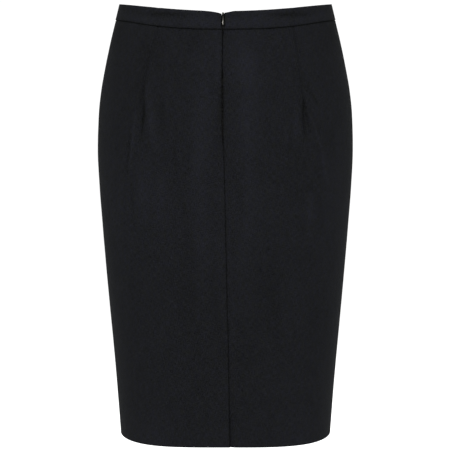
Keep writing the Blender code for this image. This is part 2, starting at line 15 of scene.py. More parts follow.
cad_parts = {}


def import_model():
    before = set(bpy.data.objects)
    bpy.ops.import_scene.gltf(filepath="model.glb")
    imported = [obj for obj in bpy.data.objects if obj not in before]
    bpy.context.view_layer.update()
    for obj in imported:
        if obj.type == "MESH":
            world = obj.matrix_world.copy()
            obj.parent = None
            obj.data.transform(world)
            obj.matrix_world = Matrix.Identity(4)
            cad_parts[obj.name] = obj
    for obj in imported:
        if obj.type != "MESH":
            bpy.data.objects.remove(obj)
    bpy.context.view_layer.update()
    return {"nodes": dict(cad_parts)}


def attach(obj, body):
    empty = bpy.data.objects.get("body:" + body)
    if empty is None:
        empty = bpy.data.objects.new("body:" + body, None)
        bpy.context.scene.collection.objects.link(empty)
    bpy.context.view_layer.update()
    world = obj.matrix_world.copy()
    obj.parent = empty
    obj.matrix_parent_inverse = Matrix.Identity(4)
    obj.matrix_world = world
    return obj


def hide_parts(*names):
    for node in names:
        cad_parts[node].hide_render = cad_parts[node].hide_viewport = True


# ---- The skirt's own sizes, as in the solids ----
TOP_Z = 0.0112
SEAM_DROP = 0.0220
HEM_DROP = 0.5978
VENT_DROP = 0.4228
ZIP_END_DROP = 0.1908
PANEL_WALL = 0.0014
BAND_WALL = 0.0024
BAND_PROUD = 0.0006
LAP_GAP = 0.0005

TOP_DIP = {"back": 0.0090, "front": 0.0180}
TOP_DIP_POWERS = (2.0, 1.4)
SEAM_DIP = {"back": 0.0110, "front": 0.0187}
SEAM_DIP_POWERS = (3.0, 1.8)

SECTION_COLUMNS = ("drop", "half_width", "back_depth", "front_depth", "flatness")
SECTIONS = (
    (0.000, 0.1463, 0.1070, 0.1090, 2.3),
    (0.022, 0.1518, 0.1118, 0.1125, 2.4),
    (0.052, 0.1592, 0.1190, 0.1160, 2.5),
    (0.086, 0.1664, 0.1262, 0.1185, 2.6),
    (0.119, 0.1723, 0.1318, 0.1200, 2.7),
    (0.152, 0.1758, 0.1355, 0.1205, 2.8),
    (0.203, 0.1774, 0.1372, 0.1195, 2.9),
    (0.253, 0.1752, 0.1358, 0.1180, 3.0),
    (0.304, 0.1715, 0.1336, 0.1170, 3.2),
    (0.371, 0.1660, 0.1314, 0.1165, 3.4),
    (0.439, 0.1599, 0.1301, 0.1168, 3.6),
    (0.507, 0.1538, 0.1296, 0.1174, 3.7),
    (0.575, 0.1486, 0.1294, 0.1180, 3.7),
    (0.599, 0.1469, 0.1294, 0.1182, 3.7),
)
CENTRE_BACK_COLUMNS = ("drop", "x")
CENTRE_BACK = (
    (0.000, -0.0031),
    (0.030, -0.0034),
    (0.080, -0.0044),
    (0.170, -0.0038),
    (0.210, -0.0019),
    (0.250, -0.0009),
    (0.360, 0.0015),
    (0.410, 0.0024),
    (0.450, 0.0035),
    (0.600, 0.0058),
)
BACK_GAP_COLUMNS = ("drop", "half_gap")
BACK_GAP = (
    (0.0090, 0.0018),
    (0.0190, 0.0027),
    (0.0270, 0.0024),
    (0.0330, 0.0013),
    (0.0450, 0.0003),
    (0.0850, 0.0003),
    (0.1000, 0.0011),
    (0.1700, 0.0011),
    (0.1850, 0.0006),
    (0.1930, 0.0),
    (0.6000, 0.0),
)

DARTS = {                    # a curve of 1 is a straight seam; above it the seam bows to the side
    "back_left": {"top_x": -0.0913, "tip_x": -0.1112, "tip_drop": 0.148, "curve": 2.2},
    "back_right": {"top_x": 0.0914, "tip_x": 0.1062, "tip_drop": 0.148, "curve": 1.4},
    "front_left": {"top_x": -0.0800, "tip_x": -0.0880, "tip_drop": 0.118, "curve": 1.0},
    "front_right": {"top_x": 0.0800, "tip_x": 0.0880, "tip_drop": 0.118, "curve": 1.0},
}
DART_CREASE = 0.0008
DART_CREASE_WIDTH = 0.0030
DART_CREASE_FADE = 0.020
DART_INTAKE = 0.022          # cloth that each dart takes up at the waist seam
DART_STITCH = 0.0007         # the fine groove along its stitching
DART_STITCH_WIDTH = 0.0009

# ---- Folds and creases, from their top to their bottom; bow is how far one curves sideways and
# the last column how much lighter (1 is the most) or darker the cloth is painted along it: painted
# light on raised folds and painted shade in hollows and creases, with the brushed cloth's own nap
# ----
FOLD_COLUMNS = ("top_x", "top_drop", "bottom_x", "bottom_drop", "height", "width", "bow", "nap")
FOLDS = {
    "back": (
        (-0.0345, 0.050, -0.0330, 0.360, 0.0013, 0.0120, 0.0, 0.50),
        (0.0290, 0.050, 0.0290, 0.360, 0.0013, 0.0120, 0.0, 0.50),
        (-0.0620, 0.060, -0.0600, 0.310, -0.0012, 0.0130, 0.0, -0.02),
        (0.0580, 0.060, 0.0570, 0.300, -0.0012, 0.0130, 0.0, 0.0),
        (-0.1112, 0.130, -0.1120, 0.162, -0.0022, 0.0060, 0.0, -0.20),
        (-0.1112, 0.146, -0.1320, 0.215, -0.0017, 0.0080, 0.0, 0.0),
        (-0.1250, 0.210, -0.1230, 0.330, -0.0010, 0.0090, 0.0, 0.0),
        (-0.1110, 0.190, -0.1100, 0.310, 0.0018, 0.0120, 0.0, 0.75),
        (-0.0960, 0.110, -0.0950, 0.200, 0.0013, 0.0090, 0.0, 0.25),
        (0.1062, 0.125, 0.1068, 0.170, -0.0022, 0.0060, 0.0, -0.20),
        (0.1090, 0.150, 0.1310, 0.210, 0.0013, 0.0080, 0.0, -0.10),
        (0.1180, 0.130, 0.1330, 0.190, -0.0010, 0.0080, 0.0, 0.0),
        (0.1000, 0.170, 0.0960, 0.280, 0.0012, 0.0140, 0.0, -0.20),
    ),
    "front": (
        (-0.0880, 0.100, -0.0885, 0.135, -0.0018, 0.0060, 0.0, -0.20),
        (0.0880, 0.100, 0.0885, 0.135, -0.0018, 0.0060, 0.0, -0.20),
        (-0.0450, 0.070, -0.0480, 0.330, 0.0012, 0.0160, 0.0, 0.25),
        (0.0500, 0.070, 0.0460, 0.300, 0.0012, 0.0160, 0.0, 0.25),
        (-0.1060, 0.130, -0.1160, 0.300, 0.0014, 0.0130, 0.0, 0.20),
        (0.1080, 0.130, 0.1150, 0.280, 0.0014, 0.0130, 0.0, 0.15),
        (0.0020, 0.200, 0.0040, 0.480, -0.0010, 0.0200, 0.0, -0.10),
    ),
}
CREASES = {
    "back": (
        (-0.1088, 0.122, -0.1152, 0.190, -0.0016, 0.0021, 0.0, -1.10),
        (-0.1100, 0.078, -0.1108, 0.128, -0.0004, 0.0010, 0.0, -0.60),
        (-0.1125, 0.100, -0.1150, 0.152, -0.0002, 0.0024, 0.0, -0.45),
        (-0.1195, 0.130, -0.1318, 0.226, 0.0008, 0.0019, 0.0006, 0.85),
        (-0.1280, 0.162, -0.1355, 0.246, -0.0009, 0.0017, 0.0, -0.80),
        (-0.1275, 0.222, -0.1250, 0.302, -0.0005, 0.0020, 0.0, -0.45),
        (-0.1085, 0.070, -0.1290, 0.112, 0.0003, 0.0016, 0.0, 0.45),
        (-0.1035, 0.096, -0.0880, 0.210, 0.0004, 0.0042, -0.0055, 0.60),
        (-0.0695, 0.172, -0.0655, 0.240, -0.0002, 0.0017, 0.0, -0.40),
        (-0.1060, 0.036, -0.1120, 0.100, -0.0007, 0.0080, 0.0, -0.40),
        (-0.1200, 0.070, -0.1160, 0.150, -0.0003, 0.0110, 0.0, -0.30),
        (-0.0405, 0.026, -0.0400, 0.058, -0.0007, 0.0090, 0.0, -0.40),
        (-0.0090, 0.032, -0.0090, 0.116, 0.0006, 0.0036, 0.0, 0.65),
        (-0.0080, 0.122, -0.0080, 0.176, -0.0002, 0.0036, 0.0, -0.45),
        (-0.0320, 0.240, -0.0310, 0.430, 0.0004, 0.0120, 0.0, 0.25),
        (0.0240, 0.020, 0.0280, 0.120, 0.0006, 0.0200, 0.0, 0.60),
        (0.0240, 0.240, 0.0230, 0.430, 0.0004, 0.0120, 0.0, 0.25),
        (0.0980, 0.080, 0.1020, 0.240, -0.0002, 0.0120, 0.0, -0.20),
        (0.0995, 0.092, 0.1290, 0.142, -0.0003, 0.0034, 0.0, -0.60),
        (0.0862, 0.158, 0.0858, 0.222, -0.0002, 0.0016, 0.0, -0.40),
        (0.0952, 0.126, 0.0945, 0.198, 0.0003, 0.0040, 0.0, 0.75),
        (0.1432, 0.155, 0.1440, 0.225, -0.0003, 0.0030, 0.0, -0.35),
        (0.1268, 0.232, 0.1260, 0.298, -0.0003, 0.0022, 0.0, -0.35),
        (0.1120, 0.250, 0.1120, 0.304, 0.0003, 0.0050, 0.0, 0.40),
        (-0.0870, 0.116, -0.0850, 0.178, -0.0003, 0.0060, 0.0, -0.50),
        (-0.0865, 0.215, -0.0865, 0.315, 0.0004, 0.0070, 0.0, 0.60),
        (-0.0500, 0.300, -0.0500, 0.470, -0.0003, 0.0120, 0.0, -0.35),
        (0.0660, 0.320, 0.0640, 0.470, -0.0003, 0.0130, 0.0, -0.25),
        (0.1053, 0.116, 0.1062, 0.172, -0.0016, 0.0015, -0.0004, -0.60),
        (0.1056, 0.122, 0.1132, 0.174, -0.0010, 0.0017, 0.0, -0.85),
        (0.1066, 0.154, 0.1064, 0.190, -0.0008, 0.0014, 0.0, -0.30),
        (0.1020, 0.148, 0.1010, 0.186, 0.0004, 0.0020, 0.0, 0.30),
        (0.1075, 0.134, 0.1318, 0.208, 0.0008, 0.0013, 0.0026, 1.30),
        (0.1285, 0.188, 0.1395, 0.250, 0.0003, 0.0030, 0.0, 0.50),
        (0.1150, 0.140, 0.1350, 0.196, -0.0006, 0.0025, 0.0, -0.20),
        (0.1210, 0.245, 0.1210, 0.300, 0.0005, 0.0090, 0.0, 0.30),
    ),
    "front": (
        (-0.0876, 0.092, -0.0882, 0.132, -0.0010, 0.0014, 0.0003, -0.50),
        (0.0876, 0.090, 0.0884, 0.134, -0.0010, 0.0014, -0.0004, -0.50),
        (-0.0895, 0.110, -0.0990, 0.152, -0.0006, 0.0020, -0.0008, -0.30),
        (0.0900, 0.112, 0.1020, 0.158, 0.0005, 0.0018, 0.0008, 0.30),
        (-0.0945, 0.112, -0.1080, 0.160, 0.0005, 0.0022, 0.0, 0.25),
        (-0.0180, 0.040, -0.0240, 0.190, 0.0005, 0.0120, 0.0, 0.20),
        (0.0200, 0.030, 0.0180, 0.150, 0.0004, 0.0140, 0.0, 0.25),
    ),
}
# Broad patches of painted light and shade without any fold, such as the darker side rims and the
# darker lower middle: height is 0.
BROAD_PAINTED_LIGHT_AND_SHADE = {
    "back": (
        (0.0000, 0.320, 0.0040, 0.630, 0.0, 0.0700, 0.0, -0.25),
        (-0.1000, 0.540, -0.0950, 0.660, 0.0, 0.0220, 0.0, 0.45),
        (0.1000, 0.545, 0.1000, 0.660, 0.0, 0.0200, 0.0, 0.50),
        (-0.0220, 0.020, -0.0220, 0.210, 0.0, 0.0160, 0.0, 0.32),
        (0.0310, 0.040, 0.0320, 0.220, 0.0, 0.0150, 0.0, 0.30),
        (-0.1400, 0.180, -0.1360, 0.390, 0.0, 0.0100, 0.0, 0.35),
        (0.1410, 0.180, 0.1380, 0.390, 0.0, 0.0090, 0.0, 0.25),
        (-0.1450, -0.020, -0.1520, 0.070, 0.0, 0.0130, 0.0, -0.60),
        (0.1450, -0.020, 0.1520, 0.070, 0.0, 0.0130, 0.0, -0.60),
        (-0.1630, 0.045, -0.1735, 0.290, 0.0, 0.0040, -0.0075, -0.75),
        (0.1630, 0.045, 0.1735, 0.290, 0.0, 0.0040, 0.0075, -0.75),
        (-0.1550, 0.150, -0.1540, 0.350, 0.0, 0.0070, 0.0, 0.25),
        (0.1550, 0.150, 0.1540, 0.350, 0.0, 0.0070, 0.0, 0.25),
        (0.0209, 0.150, 0.0209, 0.390, 0.0, 0.0060, 0.0, -0.28),
        (0.0085, 0.330, 0.0100, 0.510, 0.0, 0.0050, 0.0, 0.28),
        (-0.0060, 0.190, -0.0050, 0.450, 0.0, 0.0050, 0.0, 0.18),
        (-0.0890, 0.030, -0.0890, 0.100, 0.0, 0.0090, 0.0, -0.28),
        (-0.0040, 0.078, -0.0038, 0.178, 0.0, 0.0020, 0.0, -1.40),
    ),
    "front": (
        (0.0000, 0.280, -0.0040, 0.640, 0.0, 0.0800, 0.0, -0.35),
        (-0.0300, 0.020, -0.0280, 0.210, 0.0, 0.0200, 0.0, 0.35),
    ),
}
FOLD_FADE_POWER = 1.2

# ---- Cloth that never lies dead flat: size across, size down and height of each unevenness ----
UNEVEN_COLUMNS = ("across", "down", "height", "seed")
FRONT_SEED = 50.0            # added on the front, so that it differs from the back
UNEVEN = (
    (0.034, 0.120, 0.00035, 1.3),
    (0.014, 0.048, 0.00014, 7.9),
    (0.006, 0.010, 0.00003, 4.2),
)

# ---- Edges beside the centre back ----
ROLL = {"panel": 0.0015, "band": 0.0022}   # how deeply the edges roll in beside the zip
ROLL_WIDTH = 0.0030
SEAM_DITCH = 0.0007          # and how deeply the plain seam below it lies
SEAM_DITCH_WIDTH = 0.0020
EDGE_CHANGE = 0.020          # how much of the seam's length it takes for one to become the other
NOTCHES = {                  # how far each corner of the band drops at the zip, and how that fades
    "back_left": {"depth": 0.0034, "reach": 0.0340, "power": 2.6},
    "back_right": {"depth": 0.0021, "reach": 0.0117, "power": 0.7},
}
UNDERLAP = 0.040
VENT_STEP_WIDTH = 0.010      # across the step from the seam to the underlap, and down it
VENT_STEP_LENGTH = 0.012
VENT_TACK = {"x": -0.0087, "drop": 0.4388, "depth": 0.0009, "width": 0.0026}

# ---- How the cloth is cut and folded ----
CLOTH_WALL = 0.0006          # one layer of suiting
LAYER_GAP = 0.0001
FOLD_DEPTH = 2.0 * CLOTH_WALL + LAYER_GAP
HEM_FOLD_DROP = HEM_DROP - FOLD_DEPTH / 2.0
HEM_WIDTH = 0.038            # turned up inside
FACING_WIDTH = 0.036         # turned in behind the vent's edge, in one with the left panel
ALLOWANCE = 0.015            # turned in behind the left edge above the vent
FACING_WIDENING = 0.012      # how far above the vent one grows into the other
FACING_STEP = 0.004          # how far above the hem's edge the facing deepens to cover it
INTAKE_STEP = 0.0008         # across a dart's seam, where the weave jumps
WAIST_TUCK = 0.0013          # how deeply each edge turns in at its seam
SIDE_TUCK = 0.0007
WAIST_LAP = 0.0006           # the panels' top edges run up into the band
SEAM_PRESS = 0.0001          # how far two edges press into each other at a seam
CLOTH_EDGE = (0.0002, 2)     # radius and segments of the rounded edges
BAND_EDGE = (0.0010, 4)
EDGE_ANGLE = 60.0            # degrees: an edge that turns by more is rounded
SEAM_SHADE_REACH = {"band": 0.0009, "panel": 0.0012}   # of the painted shade along the waist seam
BAND_PAINTED_LIGHT_RUNS = (          # the band's runs of painted light: how far above the seam, reach and how much lighter
    (0.0068, 0.0048, 0.35),
    (0.0225, 0.0022, 0.40),
)
# Swells and dips along the band; the last column paints light on the swells and shade in the dips.
BAND_SWELL_COLUMNS = ("near_x", "far_x", "drop", "height", "width", "nap")
BAND_SWELLS = {
    "back": (
        (-0.122, -0.045, 0.0135, -0.0006, 0.0030, -1.15),
        (0.052, 0.122, 0.0140, -0.0006, 0.0030, -1.15),
        (-0.052, -0.006, 0.0200, 0.0005, 0.0065, 0.55),
        (-0.002, 0.064, 0.0200, 0.0005, 0.0065, 0.50),
    ),
    "front": ((-0.090, 0.080, 0.0260, -0.0005, 0.0030, -0.30),),
}

# ---- Zip ----
TAPE_WIDTH = 0.012
TAPE_WALL = 0.0010
TAPE_HALF_GAP = 0.0012
TAPE_TOP_DROP = {"left": 0.0132, "right": 0.0114}
ZIP_TAIL = 0.006
METAL_GAP = 0.0003
PLATE_FACE = 0.0008          # the slider's front face, behind the pull's axis
PLATE_WALL = 0.0009
PULL_AXIS_DROP = 0.0126
PULL_WIRE = 0.0004           # of the ring that turns under the slider's bridge
PULL_WIRE_SIDES = 10
PULL_RING = (0.00098, 0.0018)        # the ring's radius, and its straight sides
PULL_PROFILE = (             # of the teardrop tab: distance below the axis, and half width there
    (0.0036, 0.0000),
    (0.0038, 0.0004),
    (0.0046, 0.0005),
    (0.0060, 0.0005),
    (0.0074, 0.0007),
    (0.0090, 0.0010),
    (0.0106, 0.0012),
    (0.0128, 0.0012),
    (0.0142, 0.0011),
    (0.0150, 0.0007),
    (0.0154, 0.0000),
)
PULL_HALF_THICKNESS = (0.00028, 0.00042)   # at the neck and at its widest
PULL_SIDES = 24
BACK_PLATE_BOTTOM = -0.0084  # the slider's lowest point, from the pull's axis
COIL_PITCH = 0.00110
COIL_RADII = (0.00100, 0.00052)      # across the zip and through it
COIL_OFFSET = 0.00072                # each coil's middle from the zip's middle
COIL_WIRE = 0.00020
COIL_STEPS = 10
COIL_WIRE_SIDES = 5
CORD_SIDES = 8               # of the cord inside each coil
CORD_STEPS = 80

# ---- Mesh density ----
NORMAL_STEP = 0.002
ARC_SAMPLES = 161
TUCK_STEPS = 5
FOLD_STEPS = 8
EDGE_OFFSETS = (0.0004, 0.0009, 0.0016, 0.0026, 0.0040, 0.0058, 0.0080)
DART_OFFSETS = (0.0004, 0.0009, 0.0015, 0.0023, 0.0034, 0.0048, 0.0065, 0.0085)
SIDE_OFFSETS = (0.0013, 0.0022, 0.0036, 0.0060)
COLUMN_PITCH = 0.0026
COUNTING_DROP = 0.2          # the hips, where a panel's columns are counted
FACING_COLUMNS = 5
UNDERLAP_COLUMNS = 8
ROW_OFFSETS = (0.0017, 0.0024, 0.0036)     # below the waist seam, after its turned edge
ROW_STRETCHES = {            # where each stretch of rows ends, and how far apart they are
    "back": ((0.045, 0.0022), (0.112, 0.0042), (0.180, 0.0017), (0.300, 0.0040), (0.410, 0.0055),
             (0.436, 0.0018), (0.560, 0.0060), (HEM_DROP, 0.0048)),
    "front": ((0.050, 0.0026), (0.088, 0.0042), (0.140, 0.0018), (0.300, 0.0050),
              (0.560, 0.0065), (HEM_DROP, 0.0048)),
}
HEM_ROWS = 7
BAND_EDGE_SHARES = (0.0, 0.05, 0.10)       # of the band's depth, near each of its edges
BAND_ROW_COUNT = 16
BAND_COLUMN_PITCH = 0.0030
TAPE_COLUMNS = 13
TAPE_ROWS = 90
HAIR = 1e-6                  # shorter than any edge of the pull
MERGE_DISTANCE = 1e-7

# ---- Suiting: its weave, its colours (linear) and its finish ----
THREAD_PITCH = 0.00042
THREAD_SHARE = 0.08          # how much of the way from dark to light an upper thread is
SUITING_DARK = (0.0017, 0.0018, 0.0022)
SUITING_GREY = (0.01175, 0.0123, 0.0115)
SUITING_NAVY = (0.01175, 0.0123, 0.0170)
SUITING_FINISH = {
    "Roughness": 0.85, "Specular IOR Level": 0.010, "Sheen Weight": 0.0050,
    "Sheen Roughness": 0.62, "Sheen Tint": (0.69, 0.80, 0.68, 1.0)}
# Each pattern of spots is its size across and down the cloth, its detail and its seed.
SPOTS = (                    # and last how much of the way from dark to light it takes the cloth
    (0.0006, 0.0060, 1.0, 3.1, 0.66),
    (0.0060, 0.0006, 1.0, 11.7, 0.60),
    (0.0013, 0.0014, 2.0, 5.3, 0.78),
    (0.035, 0.080, 2.0, 1.9, 0.09),
    (0.012, 0.022, 1.0, 6.7, 0.13),
)
TONE_START = 0.43
HUE_SPOTS = (0.0046, 0.0080, 2.0, 9.3)
HUE_START = 0.36             # from grey to navy: a start, and the shares of what is added
HUE_SHARES = {"spots": 1.55, "nap": 0.22, "tone": 0.32}
SLUBS = (0.0022, 0.0026, 3.0, 8.4)
SUITING_BUMP = (0.45, 0.00008)             # strength and height
WAVE_PERIOD = math.pi / 10.0               # of a wave texture of scale 1

# ---- Painted light and shade: how far they go, and the painted shade at seams, edges and lines ----
PAINTED_LIGHT_AND_SHADE_RANGE = (-2.2, 1.6)      # past these the painted light and shade go no darker or lighter
PAINTED_LIGHT_AND_SHADE_SHARE = 0.20             # how much of the way from dark to light the painted light and shade can take the cloth
DARKEST_SINK = 0.0013        # an edge sunk this deep gets the darkest painted shade
DART_PAINTED_SHADE = 0.15              # share of that for the darts' own seams
SEAM_PAINTED_SHADE = 1.6               # for the seams
EDGE_PAINTED_SHADE = 0.22              # and for the edges that roll in beside the zip, as a share of a seam
LINE_PAINTED_SHADOW = 1.2               # for the painted shadow of the fine line of the plain seam and the vent's edge
LINE_WIDTH = 0.0008
BAND_PAINTED_LIGHT = 0.15              # painted light: the stiffened band is painted a little lighter

# ---- Zip tape, coils and gunmetal ----
TAPE_DARK, TAPE_LIGHT = (0.0030, 0.0028, 0.0022), (0.0075, 0.0070, 0.0055)
TAPE_FINISH = {"Roughness": 0.8, "Specular IOR Level": 0.05}
TAPE_PITCH = {"X": 0.0008, "Y": 0.0005}    # of its ribs and of the threads across them
TAPE_SPOTS = (0.002, 0.002, 2.0, 2.2)
TAPE_BUMP = (0.5, 0.0001)
COIL_DARK, COIL_LIGHT = (0.0110, 0.0109, 0.0106), (0.0230, 0.0227, 0.0220)
COIL_FINISH = {"Roughness": 0.55, "Specular IOR Level": 0.05}
FINE_SPOTS = {"Scale": 900.0, "Detail": 2.0}
METAL_FINISH = {"Metallic": 1.0, "Roughness": 0.25}
METAL_HIGHLIGHT_SHARES = (0.75, 0.5)     # least share of the painted highlight's colour, and what the spots add to it
METAL_DULLNESS = (0.12, 0.22)              # least roughness, and what the scratches add to it
SCRATCH_SCALE = (9000.0, 9000.0, 700.0)    # fine across the metal and long down it
SCRATCH_DETAIL = 3.0
SCRATCH_BUMP = (0.2, 0.00002)
# Its dark colour, and a painted highlight: its colour, where it is centred and how far it reaches.
# On the slider it is a painted reflection on its top, on the pull a painted highlight low on its
# left side; the dark colours, deeper on the slider than on the pull, are also a painted reflection
# of dark surroundings.
SLIDER_PAINTED_REFLECTION = (
    (0.0080, 0.0080, 0.0075), (0.150, 0.143, 0.127), (-0.0032, -0.1085, 0.0010),
    (0.01, 0.01, 0.0040))
PULL_PAINTED_HIGHLIGHT = (
    (0.0340, 0.0330, 0.0300), (0.150, 0.145, 0.131), (-0.0043, -0.1097, -0.0133),
    (0.0013, 0.01, 0.0042))

# ---- Camera, light and floor ----
CAMERA_DISTANCE = 3.3
CAMERA_X = 0.000756
CAMERA_AIM_DROP = 0.3084     # where it looks, below its own height, in the middle of the skirt
CAMERA_LENS = 189.05
CAMERA_SENSOR = 36.0
LIGHTS = (                   # name, place, size and watts of each, aimed at the skirt's middle
    ("left_light", (-1.7, -2.6, 1.5), 1.8, 50.0),
    ("right_light", (1.7, -2.6, 1.1), 1.8, 40.0),
    ("far_light", (0.3, 3.0, 1.6), 2.0, 50.0),
)
STUDIO_WHITE = (1.0, 1.0, 1.0, 1.0)
STUDIO_BRIGHTNESS = 1.08
FLOOR_Z = -1.10              # the hem hangs as high above the floor as it does on a wearer
FLOOR_HALF_SIZE = 20.0
FLOOR_FINISH = {
    "Base Color": (0.96, 0.96, 0.96, 1.0), "Roughness": 0.9, "Specular IOR Level": 0.0}


# ---- Reading the tables ----

def named_columns(names, rows):
    """Turn a table's rows into one array for each named column."""
    return {name: np.array([row[i] for row in rows]) for i, name in enumerate(names)}


def slopes(steps, values):
    """A slope at each row, for a curve that never swings past the rows' own values."""
    widths = np.diff(steps)
    rises = np.diff(values) / widths
    result = np.zeros(len(values))
    result[0] = rises[0]
    result[-1] = rises[-1]
    for i in range(1, len(values) - 1):
        before, after = rises[i - 1], rises[i]
        if before * after > 0.0:
            weights = (2.0 * widths[i] + widths[i - 1], widths[i] + 2.0 * widths[i - 1])
            result[i] = sum(weights) / (weights[0] / before + weights[1] / after)
    return result


SECTION = named_columns(SECTION_COLUMNS, SECTIONS)
SECTION_SLOPES = {name: slopes(SECTION["drop"], SECTION[name]) for name in SECTION_COLUMNS[1:]}
CENTRE = named_columns(CENTRE_BACK_COLUMNS, CENTRE_BACK)
GAP = named_columns(BACK_GAP_COLUMNS, BACK_GAP)


def section(name, drop):
    """A section's measure at any height, on a smooth curve through the table's rows."""
    drops, values, rises = SECTION["drop"], SECTION[name], SECTION_SLOPES[name]
    i = np.clip(np.searchsorted(drops, drop) - 1, 0, len(drops) - 2)
    width = drops[i + 1] - drops[i]
    t = np.clip((drop - drops[i]) / width, 0.0, 1.0)
    return (
        (values[i] * (1.0 + 2.0 * t) + rises[i] * width * t) * (1.0 - t) ** 2
        + (values[i + 1] * (3.0 - 2.0 * t) + rises[i + 1] * width * (t - 1.0)) * t ** 2
    )


def centre_back(drop):
    return np.interp(drop, CENTRE["drop"], CENTRE["x"])


def half_gap(drop):
    return np.interp(drop, GAP["drop"], GAP["half_gap"])


def smooth_step(value):
    t = np.clip(value, 0.0, 1.0)
    return t * t * (3.0 - 2.0 * t)


def bell(distance, width):
    return np.exp(-((distance / width) ** 2))


# ---- The smooth skirt ----

def share_of_width(turn):
    """A turn as a share of the half width: turns crowd together towards the side seams."""
    return np.copysign(1.0 - (1.0 - np.abs(turn)) ** 2, turn)


def turn_at_x(x, drop):
    share = np.minimum(np.abs(x) / section("half_width", drop), 1.0)
    return np.copysign(1.0 - np.sqrt(1.0 - share), x)


def skin(turn, drop, face):
    share = share_of_width(turn)
    depth = section(face + "_depth", drop)
    roundness = 1.0 - np.abs(share) ** section("flatness", drop)
    outward = 1.0 if face == "front" else -1.0
    return np.stack([
        section("half_width", drop) * share,
        outward * depth * np.sqrt(np.maximum(roundness, 0.0)),
        TOP_Z - drop,
    ], axis=-1)


def skin_normal(turn, drop, face):
    before, after = np.maximum(turn - NORMAL_STEP, -1.0), np.minimum(turn + NORMAL_STEP, 1.0)
    across = skin(after, drop, face) - skin(before, drop, face)
    down = skin(turn, drop + NORMAL_STEP, face) - skin(turn, drop - NORMAL_STEP, face)
    normal = np.cross(across, down)
    normal /= np.linalg.norm(normal, axis=-1, keepdims=True)
    outward = skin(turn, drop, face)
    outward[..., 2] = 0.0
    inside_out = np.sum(normal * outward, axis=-1, keepdims=True) < 0.0
    return np.where(inside_out, -normal, normal)


def arc_lengths(drop, face):
    """Turns from the middle to the side seam, and the length of cloth to each."""
    turns = np.linspace(0.0, 1.0, ARC_SAMPLES)
    points = skin(turns, np.full(ARC_SAMPLES, drop), face)
    steps = np.linalg.norm(np.diff(points, axis=0), axis=1)
    return turns, np.concatenate([[0.0], np.cumsum(steps)])


def turns_at(places, arc):
    """Turns of places that are given as lengths of cloth from the middle."""
    turns, lengths = arc
    return np.copysign(np.interp(np.abs(places), lengths, turns), places)


def place_at_x(x, drop, arc):
    turns, lengths = arc
    return float(np.interp(abs(turn_at_x(x, drop)), turns, lengths))


def dip(depths, powers, face, turn):
    share = np.abs(share_of_width(turn))
    return depths[face] * (1.0 - share ** powers[0]) ** powers[1]


def top_drop(face, turn):
    return dip(TOP_DIP, TOP_DIP_POWERS, face, turn)


def seam_drop(face, turn):
    return SEAM_DROP + dip(SEAM_DIP, SEAM_DIP_POWERS, face, turn)


# ---- Darts, folds, creases and edges ----

def dart_x(name, drop):
    """The dart seam down to its tip, and the line that carries on below it."""
    dart = DARTS[name]
    start = seam_drop(name.split("_")[0], 0.0)
    t = np.clip((drop - start) / (dart["tip_drop"] - start), 0.0, 1.0)
    share = 1.0 - (1.0 - t) ** dart["curve"]
    x = dart["top_x"] + (dart["tip_x"] - dart["top_x"]) * share
    narrowing = section("half_width", drop) / section("half_width", dart["tip_drop"])
    return x * np.where(drop > dart["tip_drop"], narrowing, 1.0)


def fold_sum(table, x, drop, measure):
    """Sum of heights, or of painted light and shade: each fold is fullest half way and dies out at
    its ends.
    """
    total = np.zeros(np.shape(x))
    for row in table:
        fold = dict(zip(FOLD_COLUMNS, row))
        along = (drop - fold["top_drop"]) / (fold["bottom_drop"] - fold["top_drop"])
        inside = np.clip(along, 0.0, 1.0)
        arch = np.sin(math.pi * inside)
        ridge_x = fold["top_x"] + (fold["bottom_x"] - fold["top_x"]) * along + fold["bow"] * arch
        total += fold[measure] * arch ** FOLD_FADE_POWER * bell(x - ridge_x, fold["width"])
    return total


def dart_depth(face, x, drop):
    total = np.zeros(np.shape(x))
    for name, dart in DARTS.items():
        if name.startswith(face):
            fade = smooth_step((dart["tip_drop"] - drop) / DART_CREASE_FADE)
            away = x - dart_x(name, drop)
            total += DART_CREASE * fade * bell(away, DART_CREASE_WIDTH)
            total += DART_STITCH * np.sqrt(fade) * bell(away, DART_STITCH_WIDTH)
    return total


def unevenness(x, drop, face):
    """Small random swells, longer down the cloth than across it."""
    total = np.zeros(np.shape(x))
    side = FRONT_SEED if face == "front" else 0.0
    for row in UNEVEN:
        swell = dict(zip(UNEVEN_COLUMNS, row))
        places = np.stack([x / swell["across"], drop / swell["down"]], axis=-1).reshape(-1, 2)
        values = [noise.noise(Vector((a, b, swell["seed"] + side))) for a, b in places.tolist()]
        total += swell["height"] * np.array(values).reshape(np.shape(x))
    return total


def edge_depth(x, drop, roll):
    """How far the back's edges turn in beside the zip, and then beside the plain seam."""
    away = np.maximum(np.abs(x - centre_back(drop)) - half_gap(drop), 0.0)
    zip_share = 1.0 - smooth_step((drop - ZIP_END_DROP) / EDGE_CHANGE)
    vent_share = smooth_step((drop - VENT_DROP) / EDGE_CHANGE + 1.0)
    ditch = SEAM_DITCH * (1.0 - zip_share) * (1.0 - vent_share)
    return (
        roll * zip_share * np.exp(-away / ROLL_WIDTH)
        + ditch * np.exp(-away / SEAM_DITCH_WIDTH)
    )


def relief(x, drop, face, fine=True):
    """Height of the folds and darts at a place, with the fine creases or without them."""
    height = fold_sum(FOLDS[face], x, drop, "height") - dart_depth(face, x, drop)
    if fine:
        height = height + fold_sum(CREASES[face], x, drop, "height")
    return height


def nap_and_painted_shade_of_folds(x, drop, face, sunk):
    """How light or dark it is painted: by the folds, with the nap, and painted shade where an edge
    is sunk.
    """
    folds = fold_sum(FOLDS[face] + CREASES[face] + BROAD_PAINTED_LIGHT_AND_SHADE[face], x, drop, "nap")
    return folds - (SEAM_PAINTED_SHADE * sunk + DART_PAINTED_SHADE * dart_depth(face, x, drop)) / DARKEST_SINK


